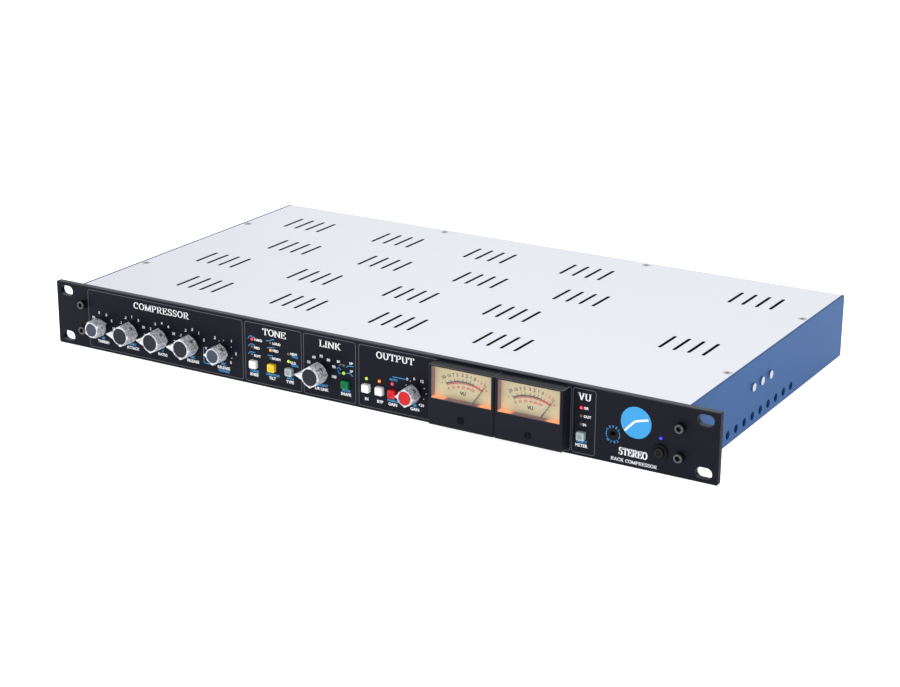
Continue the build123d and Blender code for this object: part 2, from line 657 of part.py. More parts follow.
def board_components():
    """Amplifier modules and filter capacitors on the main board."""
    modules = [standing_box(x, y, AMP_MODULE_SIZE) for x in AMP_MODULE_X for y in AMP_MODULE_Y]
    z = MAIN_BOARD_Z + BOARD_T + CAPACITOR_H / 2
    return modules + [Pos(x, CAPACITOR_Y, z) * Cylinder(CAPACITOR_R, CAPACITOR_H) for x in CAPACITOR_X]


def regulators():
    """Voltage regulators against the right side plate."""
    t, w, h = REGULATOR_SIZE
    x = CASE_HALF_W - SHEET
    bodies = [block(x - t, x, y - w / 2, y + w / 2, REGULATOR_Z - h / 2, REGULATOR_Z + h / 2) for y in REGULATOR_Y]
    holes = [Pos(x, y, REGULATOR_Z) * Rot(0, 90, 0) * Cylinder(REGULATOR_SCREW_R + HOLE_GAP, 3 * t)
             for y in REGULATOR_Y]
    return [body - holes for body in bodies]


def xlr_blank(x):
    """A chassis connector's flange and barrel."""
    half_w, half_h = XLR_FLANGE[0] / 2, XLR_FLANGE[1] / 2
    flange = centred_block(x, XLR_Z, half_w, half_h, REAR, REAR + XLR_FLANGE_T)
    flange = fillet(flange.edges().filter_by(Axis.Y), XLR_FLANGE_CORNER_R)
    return flange + rod(x, XLR_Z, XLR_BODY_R, REAR - XLR_BODY_L, REAR)


def xlr_pin_places(x):
    """Centres of the three contacts."""
    return [(x + XLR_PIN_CIRCLE_R * cos(radians(a)), XLR_Z + XLR_PIN_CIRCLE_R * sin(radians(a)))
            for a in XLR_PIN_ANGLES]


def xlr_input(x):
    """A female connector: a ring gap for the plug's sleeve and three contact holes."""
    face = REAR + XLR_FLANGE_T
    body = xlr_blank(x)
    gap = rod(x, XLR_Z, XLR_RING_INNER_R, face - XLR_RING_DEPTH, face)
    body -= gap - rod(x, XLR_Z, XLR_CUP_R, face - XLR_RING_DEPTH, face)
    return body - [rod(px, pz, XLR_PIN_R + HOLE_GAP, face - XLR_CUP_DEPTH, face) for px, pz in xlr_pin_places(x)]


def xlr_output(x):
    """A male connector: a cup with three pins."""
    face = REAR + XLR_FLANGE_T
    floor = face - XLR_CUP_DEPTH
    body = xlr_blank(x) - rod(x, XLR_Z, XLR_CUP_R, floor, face)
    for px, pz in xlr_pin_places(x):
        body += rod(px, pz, XLR_PIN_R, floor, floor + XLR_PIN_L)
    return body


def mains_inlet():
    """The mains inlet: a recess with three blades."""
    face = REAR + INLET_FLANGE_T
    floor = face - INLET_CAVITY_DEPTH
    body = centred_block(INLET_X, XLR_Z, INLET_FLANGE[0] / 2, INLET_FLANGE[1] / 2, REAR, face)
    body += centred_block(INLET_X, XLR_Z, INLET_BODY[0] / 2, INLET_BODY[1] / 2, REAR - INLET_BODY_L, REAR)
    body -= centred_block(INLET_X, XLR_Z, INLET_CAVITY[0] / 2, INLET_CAVITY[1] / 2, floor, face)
    blade_w, blade_h, blade_l = INLET_BLADE
    for dx, dz in INLET_BLADES:
        body += centred_block(INLET_X + dx, XLR_Z + dz, blade_w / 2, blade_h / 2, floor, floor + blade_l)
    return body


def all_nodes():
    """Every node of the assembly, by name."""
    nodes = {
        "front_panel": front_panel(),
        "side_plate_left": side_plate(-1),
        "side_plate_right": side_plate(1),
        "top_cover": top_cover(),
        "bottom_cover": bottom_cover(),
        "rear_panel": rear_panel(),
        "panel_screws": panel_screws(),
        "chassis_screws": chassis_screws(),
        "rotary_controls": rotary_controls(),
        "trimmer_rotor": trimmer_rotor(),
        "switch_bodies": switch_bodies(),
        "power_button": power_button(),
        "leds": leds(),
        "control_boards": control_boards(),
        "main_board": main_board(),
        "board_standoffs": board_standoffs(),
        "power_transformer": power_transformer(),
        "audio_transformers": audio_transformers(),
        "board_components": board_components(),
        "regulators": regulators(),
        "xlr_sockets": [xlr_input(x) for x in XLR_IN_X] + [xlr_output(x) for x in XLR_OUT_X],
        "mains_inlet": mains_inlet(),
        "meter_windows": [meter_window(x) for x in METER_X.values()],
        "meter_dials": [meter_dial(x) for x in METER_X.values()],
        "meter_movements": [meter_movement(x) for x in METER_X.values()],
    }
    for side, x in METER_X.items():
        nodes[f"meter_case_{side}"] = meter_case(x)
        nodes[f"meter_needle_{side}"] = meter_needle(x)
        nodes[f"meter_zero_screw_{side}"] = zero_screw(x)
    for name, x, z, kind, pointer in KNOBS:
        nodes[f"knob_{name}"] = knob(x, z, kind, pointer)
        nodes[f"knob_cap_{name}"] = knob_cap(x, z, kind)
        nodes[f"shaft_{name}"] = knob_shaft(x, z)
    for name, x, z in BUTTONS:
        nodes[f"button_{name}"] = push_button(x, z)
    return nodes


os.makedirs("parts", exist_ok=True)
for node, shape in all_nodes().items():
    solids = shape if isinstance(shape, list) else [shape]
    export_step(Compound(children=[s.solid() for s in solids]), f"parts/{node}.step")
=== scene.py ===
import json
from math import atan2, cos, hypot, pi, radians, sin

import bpy
import bmesh
from mathutils import Matrix, Vector


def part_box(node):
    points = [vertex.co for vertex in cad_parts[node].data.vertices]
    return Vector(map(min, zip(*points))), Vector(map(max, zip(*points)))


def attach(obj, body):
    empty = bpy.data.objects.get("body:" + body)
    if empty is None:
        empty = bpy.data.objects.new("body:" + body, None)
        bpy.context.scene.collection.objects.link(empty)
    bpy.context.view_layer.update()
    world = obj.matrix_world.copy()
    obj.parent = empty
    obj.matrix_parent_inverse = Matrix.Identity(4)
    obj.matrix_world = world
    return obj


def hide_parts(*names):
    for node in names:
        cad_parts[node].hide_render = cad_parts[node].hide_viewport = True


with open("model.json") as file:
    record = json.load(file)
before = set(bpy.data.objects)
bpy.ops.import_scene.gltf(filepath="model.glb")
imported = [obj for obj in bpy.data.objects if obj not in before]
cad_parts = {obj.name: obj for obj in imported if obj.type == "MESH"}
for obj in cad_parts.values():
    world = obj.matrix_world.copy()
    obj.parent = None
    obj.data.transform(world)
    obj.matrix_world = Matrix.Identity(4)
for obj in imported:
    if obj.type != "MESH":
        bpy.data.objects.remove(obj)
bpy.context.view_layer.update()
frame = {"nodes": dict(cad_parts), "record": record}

# Every length below is in millimetres and becomes metres through MM.
MM = 0.001


# ---- places in the frame

def node_box(node):
    """A CAD node's box in millimetres: lowest corner, highest corner."""
    low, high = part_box(node)
    return low / MM, high / MM


def solid_boxes(node):
    """Boxes in millimetres of the separate solids in one CAD node, ordered left to right."""
    mesh = frame["nodes"][node].data
    parent = {}

    def find(key):
        while parent[key] != key:
            parent[key] = parent[parent[key]]
            key = parent[key]
        return key

    keys = [tuple(round(c / MM, 2) for c in v.co) for v in mesh.vertices]
    for key in keys:
        parent.setdefault(key, key)
    for polygon in mesh.polygons:
        first = find(keys[polygon.vertices[0]])
        for index in polygon.vertices[1:]:
            parent[find(keys[index])] = first
    groups = {}
    for key in parent:
        groups.setdefault(find(key), []).append(key)
    boxes = []
    for points in groups.values():
        low = Vector(min(p[i] for p in points) for i in range(3))
        high = Vector(max(p[i] for p in points) for i in range(3))
        boxes.append((low, high))
    return sorted(boxes, key=lambda b: (round(b[0].x, 1), -b[0].z))


def joint_place(name):
    """Where a joint's axis passes, in millimetres."""
    joints = frame["record"]["behaviour"]["joints"]
    return Vector([j for j in joints if j["name"] == name][0]["pos_m"]) / MM


def middle(low, high):
    """X and Z of the middle of a box."""
    return (low.x + high.x) / 2, (low.z + high.z) / 2


def axis_of(node):
    """X and Z of the middle of a CAD node."""
    return middle(*node_box(node))


PANEL_LOW = node_box("front_panel")[0]
PANEL_Y = PANEL_LOW.y
FLOOR_Z = PANEL_LOW.z
WINDOW_HALF_W = 20.6
WINDOW_BOTTOM = -1.1
WINDOW_TOP = 19.3


# ---- mesh helpers

def facing(x, y, z, turn=0.0):
    """Local X is right, local Y is up and local Z comes towards the viewer of the front panel."""
    upright = Matrix.Translation((x, y, z)) @ Matrix.Rotation(pi / 2, 4, "X")
    return upright @ Matrix.Rotation(-radians(turn), 4, "Z")


def rearward(x, y, z):
    """Local Z points out of the rear, local Y is up."""
    return Matrix.Translation((x, y, z)) @ Matrix.Rotation(pi, 4, "Z") @ Matrix.Rotation(pi / 2, 4, "X")


def add_rings(bm, rings, place, closed=True):
    """Skins a stack of rings with quads. A ring is (points in the local XY plane, height, weight of wear and
    painted light).
    """
    wear_and_painted_light = bm.verts.layers.float.get("wear_and_painted_light") or bm.verts.layers.float.new("wear_and_painted_light")
    rows = []
    for points, height, amount in rings:
        row = []
        for x, y in points:
            vert = bm.verts.new((place @ Vector((x, y, height))) * MM)
            vert[wear_and_painted_light] = amount
            row.append(vert)
        rows.append(row)
    faces = []
    for lower, upper in zip(rows, rows[1:]):
        for i in range(len(lower)):
            j = (i + 1) % len(lower)
            faces.append(bm.faces.new((lower[i], lower[j], upper[j], upper[i])))
    if closed:
        faces.append(bm.faces.new(list(reversed(rows[0]))))
        faces.append(bm.faces.new(rows[-1]))
    for face in faces:
        face.smooth = True


def circle(radius, count=48):
    """Points of a circle."""
    return [(radius * cos(2 * pi * i / count), radius * sin(2 * pi * i / count)) for i in range(count)]


def hexagon(across, count, turn=0.0):
    """A hexagon by the width across its flats, with as many points as the circle it joins."""
    points = []
    for i in range(count):
        angle = 2 * pi * i / count
        reach = across / 2 / cos((angle + turn) % (pi / 3) - pi / 6)
        points.append((reach * cos(angle), reach * sin(angle)))
    return points


def rounded_rect(width, height, radius, steps=6):
    """Points of a rectangle with round corners, counter-clockwise."""
    points = []
    for quarter, (sx, sy) in enumerate(((1, 1), (-1, 1), (-1, -1), (1, -1))):
        cx = sx * (width / 2 - radius)
        cy = sy * (height / 2 - radius)
        for i in range(steps + 1):
            angle = pi / 2 * (quarter + i / steps)
            points.append((cx + radius * cos(angle), cy + radius * sin(angle)))
    return points


def lathe(bm, profile, place, count=48):
    """A solid of revolution: the profile is (radius, height) or (radius, height, weight of wear and painted
    light).
    """
    rings = [(circle(max(p[0], 0.01), count), p[1], p[2] if len(p) > 2 else 0.0) for p in profile]
    add_rings(bm, rings, place)


def slab(bm, low, high, edge=0.1):
    """A box between two corners in frame axes, with its front edges bevelled."""
    x, z = middle(low, high)
    width, height, depth = high.x - low.x, high.z - low.z, high.y - low.y
    outer = rounded_rect(width, height, edge, 2)
    inner = rounded_rect(width - 2 * edge, height - 2 * edge, edge / 2, 2)
    rings = [(outer, 0.0, 0.0), (outer, depth - edge, 0.0), (inner, depth, 1.0)]
    add_rings(bm, rings, facing(x, high.y, z))


def finish_piece(bm, name, body, material, replaces=(), sharp=35.0):
    """Turns the mesh into a named piece that rides on a body."""
    bmesh.ops.recalc_face_normals(bm, faces=bm.faces)
    mesh = bpy.data.meshes.new(name)
    bm.to_mesh(mesh)
    bm.free()
    mesh.set_sharp_from_angle(angle=radians(sharp))
    mesh.materials.append(material)
    piece = bpy.data.objects.new(name, mesh)
    bpy.context.scene.collection.objects.link(piece)
    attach(piece, body)
    if replaces:
        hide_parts(*replaces)
    return piece


# ---- materials

def node_of(material, kind, **inputs):
    """A new shader node with some of its sockets set."""
    node = material.node_tree.nodes.new(kind)
    for key, value in inputs.items():
        node.inputs[key.replace("_", " ")].default_value = value
    return node


def parts_of(material):
    """A material's links and its main shader."""
    return material.node_tree.links, material.node_tree.nodes["Principled BSDF"]


def object_place(material):
    """The object's own coordinates in metres."""
    return node_of(material, "ShaderNodeTexCoord").outputs["Object"]


def texture_of(material, kind, place, **inputs):
    """A texture node that follows a coordinate socket."""
    texture = node_of(material, kind, **inputs)
    material.node_tree.links.new(place, texture.inputs["Vector"])
    return texture


def ranged(material, socket, start, end, low, high, kind="SMOOTHSTEP"):
    """A ramp of a socket's value from low at start to high at end."""
    node = node_of(material, "ShaderNodeMapRange", From_Min=start, From_Max=end, To_Min=low, To_Max=high)
    node.interpolation_type = kind
    material.node_tree.links.new(socket, node.inputs["Value"])
    return node.outputs["Result"]


def calculated(material, operation, first, second=0.0):
    """A sum, product or the like of two values, each a number or a socket."""
    node = node_of(material, "ShaderNodeMath")
    node.operation = operation
    for target, value in zip(node.inputs, (first, second)):
        if isinstance(value, float):
            target.default_value = value
        else:
            material.node_tree.links.new(value, target)
    return node.outputs["Value"]


def wear_and_painted_light_of(material):
    """The mesh's weight of wear and painted light, from 0 to 1: wear on most pieces, painted shade on the
    meter sleeve, painted highlight on the meter bevels, and the lit core of a lamp lens.
    """
    attribute = node_of(material, "ShaderNodeAttribute")
    attribute.attribute_name = "wear_and_painted_light"
    return attribute.outputs["Fac"]


def linear(red, green, blue):
    """A display colour, 0 to 255 in each channel, as scene-linear RGBA."""
    def channel(value):
        value /= 255
        return value / 12.92 if value <= 0.04045 else ((value + 0.055) / 1.055) ** 2.4
    return (channel(red), channel(green), channel(blue), 1.0)


def scaled(color, factor):
    """A colour made lighter or darker."""
    return tuple(min(1.0, c * factor) for c in color[:3]) + (1.0,)


def colour_mix(material, factor, first, second):
    """The colour socket of a blend between two colours, each a colour or a socket."""
    blend = node_of(material, "ShaderNodeMix")
    blend.data_type = "RGBA"
    links = material.node_tree.links
    targets = [s for s in blend.inputs if s.type == "RGBA"]
    for target, value in zip(targets, (first, second)):
        if isinstance(value, tuple):
            target.default_value = value
        else:
            links.new(value, target)
    links.new(factor, [s for s in blend.inputs if s.name == "Factor" and s.type == "VALUE"][0])
    return [s for s in blend.outputs if s.type == "RGBA"][0]


def tint_base(material, amount, color):
    """Blends one more colour into the base colour."""
    links, shader = parts_of(material)
    target = shader.inputs["Base Color"]
    links.new(colour_mix(material, amount, target.links[0].from_socket, color), target)


# The span of grain over which a worn edge chips, and how much darker the slow patches are.
CHIPPED = (0.25, 0.6)
PATCH_SHADE = 0.55


def surface(name, color, roughness, metallic=0.0, grain=900.0, stretch=(1, 1, 1), spread=0.08,
            rough_spread=0.06, bump=0.05, depth=0.00003, wear_and_painted_light_colour=None, coat=0.0, patch=18.0,
            patch_spread=0.03, specular=0.5):
    """Grain, slow patches, uneven roughness and bump over one base colour, with lighter worn edges in a
    second colour; on the meter bevels that colour is a painted highlight, and on the meter sleeve it is
    darker painted shade.
    """
    material = bpy.data.materials.new(name)
    material.use_nodes = True
    links, shader = parts_of(material)
    for key, value in (("Metallic", metallic), ("Coat Weight", coat), ("Specular IOR Level", specular)):
        shader.inputs[key].default_value = value
    place = object_place(material)
    stretched = texture_of(material, "ShaderNodeMapping", place, Scale=stretch).outputs["Vector"]
    fine = texture_of(material, "ShaderNodeTexNoise", stretched, Scale=grain, Detail=4.0, Roughness=0.6)
    slow = texture_of(material, "ShaderNodeTexNoise", place, Scale=patch, Detail=2.0)
    fine, slow = fine.outputs["Fac"], slow.outputs["Fac"]
    final = colour_mix(material, fine, scaled(color, 1 - 2 * spread), scaled(color, 1 + 2 * spread))
    patches = ranged(material, slow, 0.0, 1.0, 0.0, min(1.0, 4 * patch_spread), "LINEAR")
    final = colour_mix(material, patches, final, scaled(color, PATCH_SHADE))
    # Second colour by the wear weight: wear on most pieces, painted shade on the meter sleeve, painted
    # highlight on the meter bevels.
    if wear_and_painted_light_colour is not None:
        chips = ranged(material, fine, *CHIPPED, 0.0, 1.0, "LINEAR")
        chips = calculated(material, "MULTIPLY", wear_and_painted_light_of(material), chips)
        final = colour_mix(material, chips, final, wear_and_painted_light_colour)
    links.new(final, shader.inputs["Base Color"])
    lowest, highest = max(0.02, roughness - rough_spread), min(1.0, roughness + rough_spread)
    rough = ranged(material, fine, 0.0, 1.0, lowest, highest, "LINEAR")
    links.new(rough, shader.inputs["Roughness"])
    relief = node_of(material, "ShaderNodeBump", Strength=bump, Distance=depth)
    links.new(fine, relief.inputs["Height"])
    links.new(relief.outputs["Normal"], shader.inputs["Normal"])
    return material


def lamp_resin(name, color, strength, core_color):
    """A tinted lens, brightest over its die in the middle. Strength 0 is an unlit lamp."""
    material = surface(name, color, 0.18, grain=3000.0, spread=0.05, bump=0.02, coat=0.4)
    links, shader = parts_of(material)
    if strength > 0:
        links.new(colour_mix(material, wear_and_painted_light_of(material), color, core_color), shader.inputs["Emission Color"])
        shader.inputs["Emission Strength"].default_value = strength
    return material


def clear_window(name):
    """Thin clear acrylic with a faint, slightly smeared gloss."""
    material = bpy.data.materials.new(name)
    material.use_nodes = True
    nodes, links = material.node_tree.nodes, material.node_tree.links
    nodes.remove(nodes["Principled BSDF"])
    through = node_of(material, "ShaderNodeBsdfTransparent", Color=(0.97, 0.97, 0.98, 1.0))
    gloss = node_of(material, "ShaderNodeBsdfGlossy", Roughness=0.04)
    smears = texture_of(material, "ShaderNodeTexNoise", object_place(material), Scale=60.0, Detail=3.0)
    rough = ranged(material, smears.outputs["Fac"], 0.0, 1.0, 0.02, 0.10, "LINEAR")
    links.new(rough, gloss.inputs["Roughness"])
    mixed = node_of(material, "ShaderNodeMixShader", Fac=0.03)
    links.new(through.outputs["BSDF"], mixed.inputs[1])
    links.new(gloss.outputs["BSDF"], mixed.inputs[2])
    links.new(mixed.outputs["Shader"], nodes["Material Output"].inputs["Surface"])
    return material


def split_axes(material, vector):
    """The X, Y and Z sockets of a vector."""
    return texture_of(material, "ShaderNodeSeparateXYZ", vector).outputs


def upwardness(material):
    """How far a face turns to the sky or the floor, from 0 for a wall to 1 for a level face."""
    normal = node_of(material, "ShaderNodeNewGeometry").outputs["Normal"]
    return calculated(material, "ABSOLUTE", split_axes(material, normal)["Z"])


def paint_light_and_shade_by_tilt(material, color, start, end):
    """Paints light and shade by tilt: blends a colour in as the surface turns to the sky, from start to end
    of its upwardness; a pale colour is a painted highlight, a dark one painted shade.
    """
    tint_base(material, ranged(material, upwardness(material), start, end, 0.0, 1.0), color)
    return material


def paint_lamp_glow(material, centre_x, sides, heights, dim, bright, gain, least):
    """Painted glow of a meter's two lamps, as emission on a surface that is no lamp. It rises over shares of
    the half width and falls over heights.
    """
    links, shader = parts_of(material)
    axes = split_axes(material, object_place(material))
    offset = calculated(material, "ABSOLUTE", calculated(material, "SUBTRACT", axes["X"], centre_x * MM))
    side = ranged(material, offset, *(share * WINDOW_HALF_W * MM for share in sides), 0.0, 1.0)
    low = ranged(material, axes["Z"], *(height * MM for height in heights), 1.0, 0.0)
    glow = calculated(material, "MULTIPLY", side, low)
    links.new(colour_mix(material, glow, dim, bright), shader.inputs["Emission Color"])
    strength = calculated(material, "ADD", calculated(material, "MULTIPLY", glow, gain), least)
    links.new(strength, shader.inputs["Emission Strength"])
    return material


def dial_card(name, centre_x):
    """Printed card with a painted lamp glow from its lower corners: cream in the middle, orange at the lower
    ends.
    """
    material = surface(name, linear(200, 188, 146), 0.8, grain=700.0, spread=0.04, bump=0.05, specular=0.1)
    heights = (WINDOW_BOTTOM - 2.0, WINDOW_BOTTOM + 0.60 * (WINDOW_TOP - WINDOW_BOTTOM))
    return paint_lamp_glow(material, centre_x, (0.50, 1.08), heights, linear(214, 200, 150),
                    linear(255, 128, 56), 0.42, 0.04)


def lamp_wall(name, centre_x):
    """Pinkish brown sleeve with painted shade where it meets the dial, and a painted orange lamp glow on its
    ledge near both ends.
    """
    # Painted shade: the darker second colour marks where the sleeve meets the dial.
    material = surface(name, linear(150, 116, 112), 0.7, grain=900.0, spread=0.10, bump=0.05, specular=0.05,
                       wear_and_painted_light_colour=linear(92, 58, 60))
    heights = (WINDOW_BOTTOM + 0.35, WINDOW_BOTTOM + 0.9)
    # Painted lamp glow as emission on the ledge near both ends.
    return paint_lamp_glow(material, centre_x, (0.44, 0.66), heights, linear(120, 60, 44),
                    linear(255, 138, 62), 1.2, 0.05)


def speckled(name):
    """Hammer-finish grey: coarse light and dark flecks, with a bright rim round the front."""
    material = surface(name, linear(166, 169, 176), 0.5, grain=1500.0, spread=0.12, bump=0.5, depth=0.00015,
                       wear_and_painted_light_colour=linear(240, 242, 248), specular=0.3)
    flecks = texture_of(material, "ShaderNodeTexVoronoi", object_place(material), Scale=1150.0)
    grey = node_of(material, "ShaderNodeSeparateColor")
    material.node_tree.links.new(flecks.outputs["Color"], grey.inputs["Color"])
    tint_base(material, ranged(material, grey.outputs["Red"], 0.55, 0.8, 0.0, 0.62), linear(74, 76, 86))
    tint_base(material, ranged(material, grey.outputs["Green"], 0.6, 0.85, 0.0, 0.6), linear(232, 235, 241))
    return material


def panel_black(name):
    """Satin black, with a painted highlight on the upward edge for the light from above; the same paler
    colour falls on faces that turn down.
    """
    material = surface(name, linear(21, 23, 33), 0.5, grain=2600.0, spread=0.12, bump=0.12, patch=9.0,
                       patch_spread=0.06, specular=0.07)
    # Painted highlight on the faces that turn up or down.
    return paint_light_and_shade_by_tilt(material, linear(78, 82, 88), 0.5, 0.9)


def cover_silver(name):
    """Fine brushed silver, with painted shade on its upright faces: inside the vents and round its outer
    edge.
    """
    material = surface(name, linear(217, 220, 227), 0.42, metallic=0.35, grain=1600.0, stretch=(0.05, 1, 1),
                       spread=0.03, bump=0.05, patch=6.0, patch_spread=0.02)
    # Painted shade on the upright faces: the vent walls and the cover's outer edge.
    return paint_light_and_shade_by_tilt(material, linear(46, 48, 54), 0.7, 0.3)


def meter_black(name):
    """Satin black with a painted highlight: paler along the bevels that lie between upright and level."""
    material = surface(name, linear(24, 25, 34), 0.42, grain=2600.0, spread=0.08, bump=0.08,
                       wear_and_painted_light_colour=linear(40, 41, 50), specular=0.08)
    # Painted highlight on the bevels, picked by how far each face turns up or down.
    upward = upwardness(material)
    rising = ranged(material, upward, 0.25, 0.55, 0.0, 1.0)
    falling = ranged(material, upward, 0.90, 0.99, 1.0, 0.0)
    tint_base(material, calculated(material, "MULTIPLY", rising, falling), linear(100, 101, 110))
    return material


CAST = {"grain": 1500.0, "bump": 0.4, "depth": 0.0001}
MOULDED = {"grain": 1300.0, "bump": 0.15}
# Key: material name, display colour, roughness, what else sets the finish apart.
FINISHES = {
    "side": ("side_blue_anodised", (28, 82, 138), 0.45,
             {"grain": 1400.0, "stretch": (1, 0.06, 1), "spread": 0.05, "bump": 0.06, "patch": 11.0,
              "specular": 0.10}),
    "rear": ("rear_brushed_silver", (138, 141, 148), 0.45,
             {"metallic": 0.3, "grain": 1600.0, "stretch": (0.05, 1, 1), "spread": 0.04, "bump": 0.06}),
    "screw_black": ("screw_black_oxide", (34, 34, 38), 0.34,
                    {"metallic": 0.7, "grain": 2200.0, "spread": 0.15, "bump": 0.10,
                     "wear_and_painted_light_colour": linear(96, 96, 100)}),
    "screw_bright": ("screw_zinc", (176, 178, 182), 0.32, {"metallic": 1.0, "grain": 2400.0, "bump": 0.08}),
    "cap_dark": ("cap_charcoal", (33, 37, 45), 0.5, {**CAST, "spread": 0.30, "specular": 0.15}),
    "cap_slate": ("cap_slate", (60, 68, 82), 0.45, {**CAST, "spread": 0.25, "specular": 0.2}),
    "cap_red": ("cap_red", (198, 18, 26), 0.42, {**CAST, "spread": 0.20, "specular": 0.25}),
    "white": ("key_white", (228, 229, 232), 0.35,
              {"grain": 1800.0, "spread": 0.03, "bump": 0.08, "wear_and_painted_light_colour": linear(250, 250, 252),
               "coat": 0.15}),
    "yellow": ("key_yellow", (232, 182, 18), 0.4,
               {**MOULDED, "spread": 0.10, "wear_and_painted_light_colour": linear(250, 216, 80), "specular": 0.25}),
    "grey": ("key_grey_green", (138, 152, 156), 0.4,
             {**MOULDED, "spread": 0.12, "wear_and_painted_light_colour": linear(190, 202, 204), "specular": 0.25}),
    "green": ("key_green", (0, 98, 54), 0.4,
              {**MOULDED, "spread": 0.14, "wear_and_painted_light_colour": linear(14, 130, 78), "specular": 0.15}),
    "red": ("key_red", (196, 22, 28), 0.4,
            {**MOULDED, "spread": 0.12, "wear_and_painted_light_colour": linear(226, 48, 50), "specular": 0.15}),
    "black": ("moulded_black", (13, 13, 18), 0.4,
              {"grain": 2400.0, "spread": 0.12, "bump": 0.10, "wear_and_painted_light_colour": linear(42, 42, 48),
               "specular": 0.10}),
    "deep_black": ("deep_black", (5, 5, 8), 0.6,
                   {"grain": 2000.0, "spread": 0.1, "specular": 0.04, "wear_and_painted_light_colour": linear(16, 16, 20)}),
    "needle": ("needle_black", (30, 28, 26), 0.5, {"grain": 2000.0, "spread": 0.1}),
    "steel": ("turned_steel", (170, 172, 176), 0.3,
              {"metallic": 1.0, "grain": 1800.0, "stretch": (1, 0.1, 1), "spread": 0.06}),
    "brass": ("turned_brass", (190, 158, 88), 0.32, {"metallic": 1.0, "grain": 1800.0}),
    "gold": ("gilt_contact", (214, 178, 92), 0.25,
             {"metallic": 1.0, "grain": 1800.0, "spread": 0.06, "bump": 0.04}),
    "board": ("board_green", (20, 92, 58), 0.4, {"grain": 500.0, "spread": 0.12, "bump": 0.10, "coat": 0.3}),
    "tape": ("transformer_tape", (206, 170, 70), 0.42,
             {"grain": 500.0, "stretch": (1, 1, 6), "spread": 0.10, "bump": 0.25, "coat": 0.2}),
    "can": ("pressed_can", (150, 152, 156), 0.4, {"metallic": 0.8, "bump": 0.08}),
    "potted": ("potted_black", (36, 36, 40), 0.4, {"spread": 0.10, "bump": 0.10, "coat": 0.2}),
}
# Screen-printed inks.
INKS = {"ink_white": (232, 234, 238), "ink_blue": (46, 140, 200), "ink_grey": (84, 86, 98),
        "ink_sky_blue": (36, 150, 214), "scale_black": (24, 24, 28), "scale_red": (196, 40, 40)}


def make_materials():
    """Every finish that more than one piece may share, by key."""
    made = {"panel": panel_black("panel_black_anodised"), "cover": cover_silver("cover_brushed_silver"),
            "knob": speckled("knob_speckled_grey"), "meter": meter_black("meter_satin_black"),
            "window": clear_window("meter_acrylic")}
    for key, (name, color, roughness, extra) in FINISHES.items():
        made[key] = surface(name, linear(*color), roughness, **extra)
    for key, color in INKS.items():
        made[key] = surface(key, linear(*color), 0.55, grain=2500.0, spread=0.05, bump=0.1, depth=0.00001)
    return made


MATERIALS = make_materials()


# ---- knobs

# Control: finish of its cap, the way its nose points at rest, clockwise from 12 o'clock.
KNOB_KINDS = {
    "threshold": ("cap_slate", 60.0),
    "attack": ("cap_dark", -90.0),
    "ratio": ("cap_dark", -90.0),
    "release": ("cap_dark", -90.0),
    "release_variable": ("cap_slate", -90.0),
    "link": ("cap_dark", -90.0),
    "gain": ("cap_red", -90.0),
}
LARGE_CAP = 9.5
# Body radius, nose reach, fin reach and root width.
LARGE_KNOB = (6.7, 12.2, 7.7, 4.2)
SMALL_KNOB = (5.6, 7.6, 6.5, 3.4)
NOSE_BASE = 0.5
FIN_BASE = 0.75
BLUNTNESS = 0.15
KNOB_TAPER = 0.044
KNOB_BORE_R = 3.2
KNOB_EDGE = 0.3
RIM_START = 0.6
RIM_DROP = 0.2
RIM_WIDTH = 0.25
CAP_GAP = 0.02
CAP_SEAT = 1.0
SET_SCREW_SHARE = 0.36
SET_SCREW_ANGLE = 135.0
SET_SCREW_R = 1.15
SET_SCREW_POINTS = 24
KNOB_POINTS = 240


def dress(node, key):
    """Gives a carried-over CAD part its material."""
    materials = frame["nodes"][node].data.materials
    materials.clear()
    materials.append(MATERIALS[key])


def spur_radius(angle, centre, base, reach, root):
    """How far out a spur's straight flank lies, at an angle from 12 o'clock, or 0 beyond its root."""
    away = abs((angle - centre + pi) % (2 * pi) - pi)
    base_angle = atan2(root, base)
    if away >= base_angle:
        return 0.0
    dx, dy = reach - base, -root
    length = hypot(dx, dy)
    distance = abs(base * dy - root * dx) / length
    normal = atan2(dx, -dy)
    return distance / cos(away - normal)


def knob_outline(sizes, shrink=0.0):
    """The body with a nose at 12 o'clock and fins at the other quarters, as seen from the front."""
    radius, nose, fin, root = sizes
    points = []
    for i in range(KNOB_POINTS):
        angle = 2 * pi * i / KNOB_POINTS
        reach = max(radius, spur_radius(angle, 0.0, radius * NOSE_BASE, nose, root))
        for quarter in (1, 2, 3):
            reach = max(reach, spur_radius(angle, quarter * pi / 2, radius * FIN_BASE, fin, root))
        tip = nose if min(angle, 2 * pi - angle) < pi / 4 else fin
        reach = min(reach, tip - BLUNTNESS) - shrink
        points.append((-reach * sin(angle), reach * cos(angle)))
    return points


def make_knob(name, cap_kind, pointer):
    """One knob: the body, the cap set into it and the set screw in its side."""
    low, high = node_box("knob_" + name)
    cap_low, cap_high = node_box("knob_cap_" + name)
    x, z = middle(cap_low, cap_high)
    cap_radius = (cap_high.x - cap_low.x) / 2
    sizes = LARGE_KNOB if 2 * cap_radius > LARGE_CAP else SMALL_KNOB
    length = high.y - low.y
    recess = length - (cap_low.y - low.y)
    place = facing(x, high.y, z, pointer)
    make_knob_body(name, sizes, cap_radius, length, recess, place)
    seat = recess - (cap_high.y - cap_low.y)
    make_knob_disc(name, cap_kind, cap_radius, seat, recess, facing(x, high.y, z))
    make_set_screw(name, sizes[0], place @ Matrix.Translation((0, 0, SET_SCREW_SHARE * length)))


